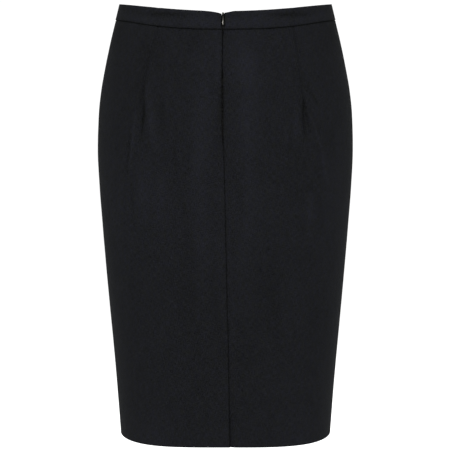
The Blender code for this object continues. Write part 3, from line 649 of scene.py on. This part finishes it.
def painted_seam_line_shadow(x, drop):
    """A painted shadow: the dark line where the two back panels meet below the zip."""
    below_zip = smooth_step((drop - ZIP_END_DROP) / EDGE_CHANGE)
    return LINE_PAINTED_SHADOW * below_zip * bell(x - centre_back(drop), LINE_WIDTH)


def cloth(turn, drop, face, lift=0.0, roll=ROLL["panel"], fine=True):
    """Points of the finished cloth, lifted off it by a distance along the normal."""
    points = skin(turn, drop, face)
    x = points[..., 0]
    height = lift + relief(x, drop, face, fine)
    if face == "back":
        height = height - edge_depth(x, drop, roll)
    if fine:
        height = height + unevenness(x, drop, face)
    return points + skin_normal(turn, drop, face) * height[..., None]


# ---- Sheets of cloth ----

def woven_sheet(name, points, across, down, nap, wall, edge, missing=None):
    """A sheet through a grid of points, with its wall inside and its edges rounded.

    across and down are each point's place in the flat cloth, which the weave follows; the last
    grid says how much lighter or darker the cloth is painted there: painted light and shade, with
    the brushed cloth's nap.
    """
    rows, columns = points.shape[:2]
    shape = bmesh.new()
    bmesh.ops.create_grid(shape, x_segments=columns - 1, y_segments=rows - 1, size=0.5)
    weave = shape.loops.layers.uv.new("weave")
    nap_and_painted_shade_layer = shape.verts.layers.float.new("nap")
    flat_places = {}
    left_out = []
    for vertex in shape.verts:
        column = round((vertex.co.x + 0.5) * (columns - 1))
        row = round((0.5 - vertex.co.y) * (rows - 1))
        vertex.co = points[row, column]
        vertex[nap_and_painted_shade_layer] = nap[row, column]
        flat_places[vertex] = (across[row, column], -down[row, column])
        if missing is not None and missing[row, column]:
            left_out.append(vertex)
    for face in shape.faces:
        for loop in face.loops:
            loop[weave].uv = flat_places[loop.vert]
    bmesh.ops.delete(shape, geom=left_out, context="VERTS")
    point_outwards(shape)
    piece = mesh_piece(name, shape)
    give_wall(piece, wall, edge)
    return piece


def point_outwards(shape):
    """Turn a sheet's faces over if they look in towards the wearer."""
    shape.normal_update()
    sample = max(shape.faces, key=lambda face: abs(face.calc_center_median().y))
    outward = sample.calc_center_median()
    outward.z = 0.0
    if sample.normal.dot(outward) < 0.0:
        bmesh.ops.reverse_faces(shape, faces=shape.faces[:])


def give_wall(piece, wall, edge):
    """Give a sheet its thickness, inwards, and round its edges."""
    thickness = piece.modifiers.new("wall", "SOLIDIFY")
    thickness.thickness = wall
    thickness.offset = -1.0
    thickness.use_even_offset = False
    thickness.use_quality_normals = True
    edges = piece.modifiers.new("rounded_edges", "BEVEL")
    edges.width, edges.segments = edge
    edges.limit_method = "ANGLE"
    edges.angle_limit = math.radians(EDGE_ANGLE)


def place_in_scene(name, data, place=(0.0, 0.0, 0.0)):
    made = bpy.data.objects.new(name, data)
    made.location = place
    bpy.context.scene.collection.objects.link(made)
    return made


def mesh_piece(name, shape):
    mesh = bpy.data.meshes.new(name)
    shape.to_mesh(mesh)
    shape.free()
    mesh.shade_smooth()
    return place_in_scene(name, mesh)


def folded(past, radius):
    """Cloth folded back on itself, by its distance past the start of the fold.

    Gives how far past the start it then lies, and its share of the fold's full depth.
    """
    angle = np.clip(past / radius, 0.0, math.pi)
    beyond = np.maximum(past - math.pi * radius, 0.0)
    return np.minimum(past, 0.0) + radius * np.sin(angle) - beyond, (1.0 - np.cos(angle)) / 2.0


def tuck_depth(distance, radius):
    """How far an edge has turned in, by its distance from the seam."""
    lean = np.clip(1.0 - distance / radius, 0.0, 1.0)
    return radius * (1.0 - np.sqrt(1.0 - lean ** 2))


def tuck_offsets(radius):
    """Distances from a seam that are even round the turn of its edge."""
    angles = [0.5 * math.pi * i / TUCK_STEPS for i in range(TUCK_STEPS + 1)]
    return [radius * (1.0 - math.cos(angle)) for angle in angles]


def even_count(start, end, count):
    """Evenly spaced places from one to the other, without the two themselves."""
    return [start + (end - start) * (i + 1) / (count + 1) for i in range(count)]


def even(start, end, pitch):
    return even_count(start, end, max(int(abs(end - start) / pitch), 1))


def panel_rows(face):
    """Rows of a panel: share of the way from waist seam to hem fold, and distance past it."""
    top = seam_drop(face, 0.0)
    drops = [top + offset for offset in tuck_offsets(WAIST_TUCK)]
    drops += [top + offset for offset in ROW_OFFSETS]
    for end, pitch in ROW_STRETCHES[face]:
        end = min(end, HEM_FOLD_DROP)
        drops += even(drops[-1], end, pitch) + [end]
    shares = [(drop - top) / (HEM_FOLD_DROP - top) for drop in drops]
    bend = math.pi * FOLD_DEPTH / 2.0
    past = [0.0] * len(shares)
    past += [bend * (i + 1) / FOLD_STEPS for i in range(FOLD_STEPS)]
    past += [bend + HEM_WIDTH * (i + 1) / HEM_ROWS for i in range(HEM_ROWS)]
    shares += [1.0] * (len(past) - len(shares))
    return np.array(shares), np.array(past)


def dart_columns(dart, end, counts):
    """Places from a dart's inner flank, over the dart, to the side seam."""
    flank = [-offset for offset in reversed(DART_OFFSETS)] + [0.0] + list(DART_OFFSETS)
    near_side = list(reversed(SIDE_OFFSETS)) + list(reversed(tuck_offsets(SIDE_TUCK)))
    places = [dart + offset for offset in flank]
    places += even_count(places[-1], end - near_side[0], counts)
    return places + [end - offset for offset in near_side]


def facing_depth(drop):
    """Depth of the cloth that is turned in at the vent: deeper where it covers the hem."""
    over_hem = smooth_step((drop - (HEM_DROP - HEM_WIDTH)) / FACING_STEP + 1.0)
    return FOLD_DEPTH * (1.0 + over_hem) + LAYER_GAP * over_hem


def dart_intake(face, places, dart_places, drop, dart):
    """Cloth taken up by the dart, which the weave beyond it has to jump."""
    top = seam_drop(face, 0.0)
    left = np.clip((dart["tip_drop"] - drop) / (dart["tip_drop"] - top), 0.0, 1.0)
    return DART_INTAKE * left * smooth_step((places - dart_places) / INTAKE_STEP + 0.5)


def inner_count(face):
    """How many columns lie between the centre and the dart, and between the dart and the side."""
    arc = arc_lengths(COUNTING_DROP, face)
    dart = place_at_x(dart_x(face + "_right", COUNTING_DROP), COUNTING_DROP, arc)
    return int(dart / COLUMN_PITCH), int((arc[1][-1] - dart) / COLUMN_PITCH)


def panel_grid(face, one_row):
    """A panel's grid: each measure's rows, from waist seam to the edge of the turned-up hem.

    one_row gives a row's places, as lengths of cloth from the middle, and its other measures,
    from its drop, its arc and where its side seam lies.
    """
    shares, past = panel_rows(face)
    down, hem_turn = folded(past, FOLD_DEPTH / 2.0)
    middle_top = seam_drop(face, 0.0)
    rows = []
    for share, row_down in zip(shares, down):
        drop = middle_top + share * (HEM_FOLD_DROP - middle_top) + row_down
        arc = arc_lengths(drop, face)
        row = one_row(drop, arc, arc[1][-1] + SEAM_PRESS / 2.0)
        rows.append({"turn": turns_at(row["place"], arc), **row})
    grid = {measure: np.array([row[measure] for row in rows]) for measure in rows[0]}
    seam = seam_drop(face, grid["turn"])
    top = seam - WAIST_LAP
    run = top + shares[:, None] * (HEM_FOLD_DROP - top)
    grid["drop"] = run + down[:, None]
    grid["down_flat"] = run + past[:, None]
    grid["x"] = skin(grid["turn"], grid["drop"], face)[..., 0]
    grid["hem_depth"] = hem_turn[:, None] * FOLD_DEPTH
    below_seam = grid["drop"] - seam
    grid["tucked"] = tuck_depth(below_seam, WAIST_TUCK) + tuck_depth(grid["from_side"], SIDE_TUCK)
    # painted shade along the waist seam
    grid["seam_nap"] = SEAM_PAINTED_SHADE * bell(below_seam, SEAM_SHADE_REACH["panel"])
    return grid


def folded_edge(edge, drop):
    """The left panel's edge, from its inner end out to the fold.

    Gives where the fold starts, each column's place, its place in the flat cloth, and its
    share of the turn inside.
    """
    radius = facing_depth(drop) / 2.0
    widening = smooth_step((drop - VENT_DROP) / FACING_WIDENING + 1.0)
    width = ALLOWANCE + (FACING_WIDTH - ALLOWANCE) * widening
    bend = math.pi * radius
    past = [width * (FACING_COLUMNS - i) / FACING_COLUMNS + bend for i in range(FACING_COLUMNS)]
    past = np.array(past + [bend * (FOLD_STEPS - i) / FOLD_STEPS for i in range(FOLD_STEPS)])
    beyond, turned = folded(past, radius)
    start = edge + radius
    return start, list(start - beyond), list(start - past), list(turned)


def running_edge(edge):
    """The right panel's edge, which runs on flat under the left one."""
    places = [edge - UNDERLAP * (UNDERLAP_COLUMNS - i) / UNDERLAP_COLUMNS
              for i in range(UNDERLAP_COLUMNS)]
    return edge, places, places, [0.0] * UNDERLAP_COLUMNS


def underlap_depth(x, drop, folded_in):
    """How deep the right panel's edge lies: rounded above the vent, and under the lap below it."""
    past_edge = x - centre_back(drop)
    under = (folded_in + LAYER_GAP) * (1.0 - smooth_step(past_edge / VENT_STEP_WIDTH))
    rounded = tuck_depth(past_edge - half_gap(drop), FOLD_DEPTH / 2.0)
    vent_share = smooth_step((drop - VENT_DROP) / VENT_STEP_LENGTH + 0.5)
    return under * vent_share + rounded * (1.0 - vent_share)


def tack_depth(x, drop):
    """The dimple where the vent's top is tacked through the lap."""
    across = bell(x - VENT_TACK["x"], VENT_TACK["width"])
    return VENT_TACK["depth"] * across * bell(drop - VENT_TACK["drop"], VENT_TACK["width"])


def back_panel(name, side):
    """side is -1 for the left panel, whose edge folds in, and 1 for the right one, which
    runs on under it below the vent's top."""
    face = "back"
    inner, outer = inner_count(face)

    def one_row(drop, arc, end):
        edge = side * float(centre_back(drop)) + float(half_gap(drop)) - SEAM_PRESS / 2.0
        start, near, near_flat, turned = (
            folded_edge(edge, drop) if side < 0 else running_edge(edge))
        dart = place_at_x(dart_x(name, drop), drop, arc)
        over_dart = dart_columns(dart, end, outer)
        main = [start] + [start + offset for offset in tuck_offsets(FOLD_DEPTH / 2.0)[1:]]
        main += [main[-1] + offset for offset in EDGE_OFFSETS]
        main += even_count(main[-1], over_dart[0], inner) + over_dart
        places = np.array(near + main)
        return {
            "place": side * places, "dart": np.full(len(places), dart),
            "flat": np.array(near_flat + main), "from_side": end - places,
            "turned": np.array(turned + [0.0] * len(main))}

    grid = panel_grid(face, one_row)
    drops, x, turned, tucked = grid["drop"], grid["x"], grid["turned"], grid["tucked"]
    folded_in = facing_depth(drops)
    missing = None
    if side < 0:
        tucked = tucked + tack_depth(x, drops)
    depth = turned * folded_in + (1.0 - 2.0 * turned) * grid["hem_depth"] + tucked
    if side > 0:
        depth = depth + underlap_depth(x, drops, folded_in)
        underlap = np.arange(drops.shape[1]) < UNDERLAP_COLUMNS
        missing = underlap[None, :] & (drops < VENT_DROP)
    points = cloth(grid["turn"], drops, face, -depth)
    # painted shade where the edges are sunk and roll in beside the zip, and the painted shadow of
    # the seam's line below it
    rolled_edge_shade = EDGE_PAINTED_SHADE * edge_depth(x, drops, ROLL["panel"])
    nap = nap_and_painted_shade_of_folds(x, drops, face, tucked + rolled_edge_shade) - painted_seam_line_shadow(x, drops) - grid["seam_nap"]
    intake = dart_intake(face, side * grid["place"], grid["dart"], drops, DARTS[name])
    return woven_sheet(
        name + "_panel_cloth", points, side * (grid["flat"] + intake), grid["down_flat"], nap,
        CLOTH_WALL, CLOTH_EDGE, missing)


def front_panel():
    face = "front"
    inner, outer = inner_count(face)

    def one_row(drop, arc, end):
        left_dart, right_dart = (
            place_at_x(dart_x(name, drop), drop, arc) for name in ("front_left", "front_right"))
        left = [-place for place in reversed(dart_columns(left_dart, end, outer))]
        right = dart_columns(right_dart, end, outer)
        places = np.array(left + even_count(left[-1], right[0], 2 * inner) + right)
        return {
            "place": places, "dart": np.where(places < 0.0, left_dart, right_dart),
            "from_side": end - np.abs(places)}

    grid = panel_grid(face, one_row)
    drops, places = grid["drop"], grid["place"]
    points = cloth(grid["turn"], drops, face, -grid["hem_depth"] - grid["tucked"])
    # painted light and shade of the folds, and painted shade at the tucked seams
    nap = nap_and_painted_shade_of_folds(grid["x"], drops, face, grid["tucked"]) - grid["seam_nap"]
    intake = dart_intake(face, np.abs(places), grid["dart"], drops, DARTS["front_right"])
    return woven_sheet(
        "front_panel_cloth", points, places + np.copysign(intake, places), grid["down_flat"],
        nap, CLOTH_WALL, CLOTH_EDGE)


# ---- Waistband ----

def band_top(name, face, turn):
    """The band's top edge, with the corners that drop beside the zip."""
    drop = top_drop(face, turn)
    if name in NOTCHES:
        notch = NOTCHES[name]
        away = np.abs(skin(turn, drop, face)[..., 0] - centre_back(drop)) - half_gap(drop)
        corner = np.clip(1.0 - away / notch["reach"], 0.0, 1.0)
        drop = drop + notch["depth"] * corner ** notch["power"]
    return drop


def band_swell(face, x, drop, measure):
    """Sum of the swells' heights, or of their painted light and shade, along the band."""
    total = np.zeros(np.shape(x))
    for row in BAND_SWELLS[face]:
        swell = dict(zip(BAND_SWELL_COLUMNS, row))
        along = np.clip((x - swell["near_x"]) / (swell["far_x"] - swell["near_x"]), 0.0, 1.0)
        fullness = np.sin(math.pi * along) * bell(drop - swell["drop"], swell["width"])
        total += swell[measure] * fullness
    return total


def band_row(side, drop, arc, columns):
    """Places across one row of the band; side is 0 for the front, which crosses the middle."""
    end = arc[1][-1] + SEAM_PRESS / 2.0
    near_side = [end - offset for offset in reversed(SIDE_OFFSETS)] + [end]
    if side == 0:
        left = [-place for place in reversed(near_side)]
        return np.array(left + even_count(left[-1], near_side[0], 2 * columns) + near_side)
    edge = side * float(centre_back(drop)) + float(half_gap(drop))
    places = [edge] + [edge + offset for offset in EDGE_OFFSETS]
    return side * np.array(places + even_count(places[-1], near_side[0], columns) + near_side)


def band_piece(name, face, side):
    middle_top, middle_bottom = top_drop(face, 0.0), seam_drop(face, 0.0)
    near_edge = list(BAND_EDGE_SHARES)
    shares = near_edge + even_count(near_edge[-1], 1.0 - near_edge[-1], BAND_ROW_COUNT)
    shares = np.array(shares + [1.0 - share for share in reversed(near_edge)])
    columns = int(arc_lengths(middle_top, face)[1][-1] / BAND_COLUMN_PITCH)
    turn_rows, place_rows = [], []
    for share in shares:
        drop = middle_top + share * (middle_bottom - middle_top)
        arc = arc_lengths(drop, face)
        place_rows.append(band_row(side, drop, arc, columns))
        turn_rows.append(turns_at(place_rows[-1], arc))
    places, turns = np.array(place_rows), np.array(turn_rows)
    top, bottom = band_top(name, face, turns), seam_drop(face, turns)
    drops = top + shares[:, None] * (bottom - top)
    x = skin(turns, drops, face)[..., 0]
    lift = BAND_PROUD + band_swell(face, x, drops, "height")
    points = cloth(turns, drops, face, lift, ROLL["band"])
    # painted light and shade of the folds and swells, painted light on the band and its runs, and
    # painted shade along the waist seam
    nap = nap_and_painted_shade_of_folds(x, drops, face, 0.0) + band_swell(face, x, drops, "nap") + BAND_PAINTED_LIGHT
    for above, reach, run_light in BAND_PAINTED_LIGHT_RUNS:
        nap = nap + run_light * bell(bottom - drops - above, reach)
    nap = nap - SEAM_PAINTED_SHADE * bell(bottom - drops, SEAM_SHADE_REACH["band"])
    return woven_sheet(
        "waistband_" + name + "_cloth", points, places, drops, nap, BAND_WALL, BAND_EDGE)


# ---- Zip ----

def tape_seat(drop):
    """How deep the tape lies under the cloth, and the roll of the edges above it."""
    past_band = smooth_step((drop - seam_drop("back", 0.0)) / EDGE_CHANGE)
    in_band = BAND_WALL - BAND_PROUD + LAP_GAP
    in_panel = PANEL_WALL + LAP_GAP
    depth = in_band + past_band * (in_panel - in_band)
    return depth, ROLL["band"] + past_band * (ROLL["panel"] - ROLL["band"])


def zip_line(across, drop, extra_depth):
    """Points of the zip: across it, down it, and behind the face of its tape."""
    depth, roll = tape_seat(drop)
    turn = turn_at_x(centre_back(drop) + across, drop)
    return cloth(turn, drop, "back", -depth - extra_depth, roll, fine=False)


def zip_tape(name, side):
    top = TAPE_TOP_DROP[name.split("_")[-1]]
    offsets = np.linspace(TAPE_HALF_GAP, TAPE_HALF_GAP + TAPE_WIDTH, TAPE_COLUMNS)
    rows = np.linspace(top, ZIP_END_DROP + ZIP_TAIL, TAPE_ROWS)
    drops, across = np.meshgrid(rows, side * offsets, indexing="ij")
    points = zip_line(across, drops, 0.0)
    no_nap = np.zeros(drops.shape)
    return woven_sheet(name + "_woven", points, across, drops, no_nap, CLOTH_WALL, CLOTH_EDGE)


def wind(shape, edges, angle, steps, length):
    """Turn edges round the coil's axis while they travel along it."""
    bmesh.ops.spin(
        shape, geom=edges, cent=(0, 0, 0), axis=(0, 0, 1), angle=angle, steps=steps,
        dvec=(0.0, 0.0, length / steps), use_merge=False)


def zip_coil(name, side):
    """One side's coil: a wire wound round a cord, and laid down the zip behind the tape.

    The two sides' turns lie between each other's.
    """
    top = PULL_AXIS_DROP - BACK_PLATE_BOTTOM + METAL_GAP + COIL_WIRE
    top += COIL_PITCH / 2.0 * (side > 0)
    turns = int((ZIP_END_DROP + ZIP_TAIL - COIL_WIRE - top) / COIL_PITCH)
    length = COIL_PITCH * turns
    shape = bmesh.new()
    wire = bmesh.ops.create_circle(shape, segments=COIL_WIRE_SIDES, radius=COIL_WIRE)["verts"]
    bmesh.ops.rotate(shape, verts=wire, matrix=Matrix.Rotation(math.pi / 2.0, 3, "X"))
    bmesh.ops.translate(shape, verts=wire, vec=(1.0, 0.0, 0.0))
    wind(shape, shape.edges[:], 2.0 * math.pi * turns, COIL_STEPS * turns, length)
    cord = bmesh.ops.create_circle(shape, segments=CORD_SIDES, radius=1.0 - COIL_WIRE)["verts"]
    cord_edges = [edge for edge in shape.edges if set(edge.verts) <= set(cord)]
    wind(shape, cord_edges, 0.0, CORD_STEPS, length)
    lay_down_zip(shape, side, top, length)
    ends = [edge for edge in shape.edges if edge.is_boundary]
    bmesh.ops.edgeloop_fill(shape, edges=ends)
    bmesh.ops.recalc_face_normals(shape, faces=shape.faces[:])
    return mesh_piece(name, shape)


def lay_down_zip(shape, side, top, length):
    """Press a round coil of radius 1 to its own radii, and bend it along the zip."""
    behind = TAPE_WALL + LAP_GAP + METAL_GAP + COIL_RADII[1] + COIL_WIRE
    spots = np.array([vertex.co[:] for vertex in shape.verts])
    around = np.arctan2(spots[:, 1], spots[:, 0])
    out = np.hypot(spots[:, 0], spots[:, 1]) - 1.0
    across = side * (COIL_OFFSET + (COIL_RADII[0] + out) * np.cos(around))
    extra = behind + (COIL_RADII[1] + out) * np.sin(around)
    points = zip_line(across, top + np.clip(spots[:, 2], 0.0, length), extra)
    for vertex, point in zip(shape.verts, points):
        vertex.co = point


def full_turn(shape, edges, axis):
    bmesh.ops.spin(
        shape, geom=edges, cent=(0, 0, 0), axis=axis, angle=2.0 * math.pi, steps=PULL_SIDES,
        use_merge=True)


def pull_ring(shape):
    """A ring hung from the pull's axis, which its straight sides make longer than it is wide."""
    radius, straight = PULL_RING
    wire = bmesh.ops.create_circle(shape, segments=PULL_WIRE_SIDES, radius=PULL_WIRE)["verts"]
    bmesh.ops.translate(shape, verts=wire, vec=(radius, 0.0, 0.0))
    bmesh.ops.rotate(
        shape, verts=wire, cent=(0, 0, 0), matrix=Matrix.Rotation(math.pi / 2.0, 3, "X"))
    full_turn(shape, shape.edges[:], (0, 1, 0))
    lower = [vertex for vertex in shape.verts if vertex.co.z < -HAIR]
    bmesh.ops.translate(shape, verts=lower, vec=(0.0, 0.0, -straight))
    bmesh.ops.translate(shape, verts=shape.verts[:], vec=(0.0, 0.0, -radius))


def pull_tab(shape):
    """A teardrop turned from its profile, then pressed flat with a domed face."""
    ring = set(shape.verts)
    places = [shape.verts.new((half_width, 0.0, -below)) for below, half_width in PULL_PROFILE]
    full_turn(shape, [shape.edges.new(pair) for pair in zip(places[:-1], places[1:])], (0, 0, 1))
    widest = max(half_width for below, half_width in PULL_PROFILE)
    thin, thick = PULL_HALF_THICKNESS
    for vertex in set(shape.verts) - ring:
        half_width = math.hypot(vertex.co.x, vertex.co.y)
        if half_width > HAIR:
            vertex.co.y *= (thin + (thick - thin) * half_width / widest) / half_width


def zip_pull():
    """A ring under the slider's bridge, and below it a domed teardrop tab."""
    shape = bmesh.new()
    pull_ring(shape)
    pull_tab(shape)
    bmesh.ops.remove_doubles(shape, verts=shape.verts[:], dist=MERGE_DISTANCE)
    bmesh.ops.recalc_face_normals(shape, faces=shape.faces[:])
    turn = turn_at_x(centre_back(PULL_AXIS_DROP), PULL_AXIS_DROP)
    depth, roll = tape_seat(PULL_AXIS_DROP)
    above_tape = METAL_GAP + PLATE_WALL + PLATE_FACE
    axis = cloth(turn, PULL_AXIS_DROP, "back", above_tape - depth, roll, fine=False)
    normal = skin_normal(turn, PULL_AXIS_DROP, "back")
    lean = Matrix.Rotation(-math.atan2(normal[2], -normal[1]), 3, "X")
    bmesh.ops.rotate(shape, verts=shape.verts[:], cent=(0, 0, 0), matrix=lean)
    bmesh.ops.translate(shape, verts=shape.verts[:], vec=Vector(axis))
    return mesh_piece("zip_pull_teardrop", shape)


# ---- Materials ----

def add_node(material, kind, inputs=None, **settings):
    """A shader node with its settings; an input is a value, or another node's output."""
    made = material.node_tree.nodes.new(kind)
    for name, value in settings.items():
        setattr(made, name, value)
    for key, value in (inputs or {}).items():
        if isinstance(value, bpy.types.NodeSocket):
            material.node_tree.links.new(value, made.inputs[key])
        else:
            made.inputs[key].default_value = value
    return made


def maths(material, operation, *values):
    return add_node(
        material, "ShaderNodeMath", dict(enumerate(values)), operation=operation).outputs[0]


def fresh_material(name, finish):
    """A material, and its shader with the finish's values."""
    material = bpy.data.materials.new(name)
    material.use_nodes = True
    shader = material.node_tree.nodes["Principled BSDF"]
    for socket, value in finish.items():
        shader.inputs[socket].default_value = value
    return material, shader


def flat_cloth(material):
    """Places in the flat cloth, which the weave follows."""
    return add_node(material, "ShaderNodeUVMap", uv_map="weave").outputs[0]


def object_place(material):
    return add_node(material, "ShaderNodeTexCoord").outputs["Object"]


def noise_spots(material, place, size_across, size_down, detail, seed):
    """Soft spots of noise, of a given size across and down the cloth."""
    scaled = add_node(
        material, "ShaderNodeMapping",
        {"Vector": place, "Scale": (1.0 / size_across, 1.0 / size_down, 1.0),
         "Location": (seed, 0.0, 0.0)})
    spots = add_node(
        material, "ShaderNodeTexNoise",
        {"Vector": scaled.outputs[0], "Scale": 1.0, "Detail": detail, "Roughness": 0.5},
        noise_dimensions="2D")
    return maths(material, "SUBTRACT", spots.outputs[0], 0.5)


def threads(material, place, pitch, direction):
    """Ridges one pitch apart."""
    return add_node(
        material, "ShaderNodeTexWave",
        {"Vector": place, "Scale": WAVE_PERIOD / pitch, "Distortion": 0.0},
        wave_type="BANDS", bands_direction=direction, wave_profile="SIN").outputs["Fac"]


def sum_of_patterns(material, start, patterns):
    """A start value, and each pattern's share added to it."""
    total = start
    for pattern, share in patterns:
        total = maths(material, "ADD", total, maths(material, "MULTIPLY", pattern, share))
    return total


def opaque(colour):
    """A colour with its alpha, or another node's colour as it is."""
    return colour if isinstance(colour, bpy.types.NodeSocket) else (*colour, 1.0)


def blend(material, share, first, second):
    """A colour some share of the way from the first to the second."""
    return add_node(
        material, "ShaderNodeMix", {0: share, 6: opaque(first), 7: opaque(second)},
        data_type="RGBA", clamp_factor=True).outputs[2]


def paint(material, shader, colour, height=None, bump=None):
    """Lay a colour on the shader, and a relief with its strength and height."""
    link = material.node_tree.links.new
    link(colour, shader.inputs["Base Color"])
    if bump:
        strength, distance = bump
        raised = add_node(
            material, "ShaderNodeBump",
            {"Height": height, "Strength": strength, "Distance": distance})
        link(raised.outputs[0], shader.inputs["Normal"])


def suiting_material():
    """Navy and charcoal threads in a plain weave, with painted light on raised folds and painted
    shade in hollows and seams, over the nap.
    """
    material, shader = fresh_material("suiting_weave", SUITING_FINISH)
    place = flat_cloth(material)
    over = add_node(
        material, "ShaderNodeTexChecker",
        {"Vector": place, "Scale": 1.0 / THREAD_PITCH}).outputs["Fac"]
    # painted light and shade, with the nap, that each sheet carries
    painted_light_and_nap = add_node(
        material, "ShaderNodeAttribute", attribute_type="GEOMETRY", attribute_name="nap")
    darkest, lightest = PAINTED_LIGHT_AND_SHADE_RANGE
    nap = add_node(
        material, "ShaderNodeClamp",
        {"Value": painted_light_and_nap.outputs["Fac"], "Min": darkest, "Max": lightest}).outputs[0]
    patterns = [(over, THREAD_SHARE)]
    patterns += [(noise_spots(material, place, *spots[:4]), spots[4]) for spots in SPOTS]
    tone = sum_of_patterns(material, TONE_START, patterns + [(nap, PAINTED_LIGHT_AND_SHADE_SHARE)])
    hue = {"spots": noise_spots(material, place, *HUE_SPOTS), "nap": nap, "tone": tone}
    hues = [(hue[name], share) for name, share in HUE_SHARES.items()]
    light = blend(
        material, sum_of_patterns(material, HUE_START, hues), SUITING_GREY, SUITING_NAVY)
    warp, weft = (threads(material, place, 2.0 * THREAD_PITCH, way) for way in "XY")
    weave = add_node(
        material, "ShaderNodeMix", {0: over, 2: warp, 3: weft}, data_type="FLOAT").outputs[0]
    height = maths(material, "ADD", weave, noise_spots(material, place, *SLUBS))
    paint(material, shader, blend(material, tone, SUITING_DARK, light), height, SUITING_BUMP)
    return material


def tape_material():
    """Zip tape: fine ribs down its length, and a dark olive-black dye."""
    material, shader = fresh_material("zip_tape_weave", TAPE_FINISH)
    place = flat_cloth(material)
    ribs, picks = (
        threads(material, place, pitch, direction) for direction, pitch in TAPE_PITCH.items())
    height = maths(material, "ADD", ribs, maths(material, "MULTIPLY", picks, 0.5))
    tone = maths(
        material, "ADD", maths(material, "MULTIPLY", height, 0.5),
        noise_spots(material, place, *TAPE_SPOTS))
    paint(material, shader, blend(material, tone, TAPE_DARK, TAPE_LIGHT), height, TAPE_BUMP)
    return material


def fine_spots(material):
    inputs = {"Vector": object_place(material), **FINE_SPOTS}
    return add_node(material, "ShaderNodeTexNoise", inputs).outputs[0]


def coil_material():
    """Nylon coil wire, dark and a little glossy."""
    material, shader = fresh_material("coil_nylon", COIL_FINISH)
    paint(material, shader, blend(material, fine_spots(material), COIL_DARK, COIL_LIGHT))
    return material


def gunmetal_material(name, dark, highlight_colour, spot, reach):
    """Dark polished gunmetal with fine scratches, and a painted highlight round one spot."""
    material, shader = fresh_material(name, METAL_FINISH)
    place = object_place(material)
    away = add_node(
        material, "ShaderNodeMapping",
        {"Vector": place, "Location": spot, "Scale": reach}, vector_type="TEXTURE")
    distance = add_node(
        material, "ShaderNodeVectorMath", {0: away.outputs[0]}, operation="LENGTH")
    highlight_fade = add_node(
        material, "ShaderNodeMapRange",
        {0: distance.outputs["Value"], 1: 0.0, 2: 1.0, 3: 1.0, 4: 0.0},
        interpolation_type="SMOOTHSTEP").outputs[0]
    least, added = METAL_HIGHLIGHT_SHARES
    uneven = maths(material, "MULTIPLY_ADD", fine_spots(material), added, least)
    share = maths(material, "MULTIPLY", highlight_fade, uneven)
    scratched = add_node(
        material, "ShaderNodeMapping", {"Vector": place, "Scale": SCRATCH_SCALE})
    scratches = add_node(
        material, "ShaderNodeTexNoise",
        {"Vector": scratched.outputs[0], "Scale": 1.0, "Detail": SCRATCH_DETAIL}).outputs[0]
    least, added = METAL_DULLNESS
    dullness = maths(material, "MULTIPLY_ADD", scratches, added, least)
    material.node_tree.links.new(dullness, shader.inputs["Roughness"])
    paint(material, shader, blend(material, share, dark, highlight_colour), scratches, SCRATCH_BUMP)
    return material


# ---- Studio ----

def camera():
    data = bpy.data.cameras.new("camera")
    data.lens = CAMERA_LENS
    data.sensor_width = CAMERA_SENSOR
    made = place_in_scene("camera", data, (CAMERA_X, -CAMERA_DISTANCE, TOP_Z))
    tilt = math.atan2(CAMERA_AIM_DROP, CAMERA_DISTANCE)
    made.rotation_euler = (math.pi / 2.0 - tilt, 0.0, 0.0)
    bpy.context.scene.camera = made


def soft_light(name, place, size, watts):
    """A square light that looks at the middle of the skirt."""
    data = bpy.data.lights.new(name, "AREA")
    data.shape = "SQUARE"
    data.size = size
    data.energy = watts
    made = place_in_scene(name, data, place)
    made.rotation_mode = "QUATERNION"
    aim = Vector((0.0, 0.0, TOP_Z - HEM_DROP / 2.0)) - Vector(place)
    made.rotation_quaternion = aim.to_track_quat("-Z", "Y")


def studio():
    scene = bpy.context.scene
    scene.view_settings.view_transform = "Standard"
    world = bpy.data.worlds.new("white_studio")
    world.use_nodes = True
    surroundings = world.node_tree.nodes["Background"].inputs
    surroundings["Color"].default_value = STUDIO_WHITE
    surroundings["Strength"].default_value = STUDIO_BRIGHTNESS
    scene.world = world
    for light in LIGHTS:
        soft_light(*light)
    shape = bmesh.new()
    bmesh.ops.create_grid(shape, x_segments=2, y_segments=2, size=FLOOR_HALF_SIZE)
    bmesh.ops.translate(shape, verts=shape.verts[:], vec=(0.0, 0.0, FLOOR_Z))
    floor = mesh_piece("studio_floor", shape)
    floor.data.materials.append(fresh_material("pale_floor", FLOOR_FINISH)[0])


# ---- Putting it together ----


def dress(piece, material, body, slot, *nodes):
    """Finish a piece, and let it stand for its CAD nodes."""
    piece.data.materials.append(material)
    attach(piece, body)
    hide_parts(*nodes)


def main():
    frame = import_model()
    camera()
    studio()
    suiting, tape, coil = suiting_material(), tape_material(), coil_material()
    panels = {
        "front_panel": front_panel(),
        "back_left_panel": back_panel("back_left", -1),
        "back_right_panel": back_panel("back_right", 1),
    }
    bands = {
        "waistband_front": band_piece("front", "front", 0),
        "waistband_back_left": band_piece("back_left", "back", -1),
        "waistband_back_right": band_piece("back_right", "back", 1),
    }
    for node, piece in panels.items():
        dress(piece, suiting, "garment", "suiting", node)
    for node, piece in bands.items():
        dress(piece, suiting, "garment", "suiting", node)
    for name, side in (("zip_tape_left", -1.0), ("zip_tape_right", 1.0)):
        piece = zip_tape(name, side)
        dress(piece, tape, "garment", "zip_tape", name)
    for name, side in (("zip_coil_left", -1.0), ("zip_coil_right", 1.0)):
        dress(zip_coil(name, side), coil, "garment", "zip_tape", "zip_chain")
    slider = frame["nodes"]["zip_slider"]
    slider.data.materials.clear()
    slider.data.materials.append(gunmetal_material("slider_gunmetal", *SLIDER_PAINTED_REFLECTION))
    pull_metal = gunmetal_material("pull_gunmetal", *PULL_PAINTED_HIGHLIGHT)
    dress(zip_pull(), pull_metal, "pull", "zip_metal", "zip_pull")
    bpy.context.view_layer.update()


main()
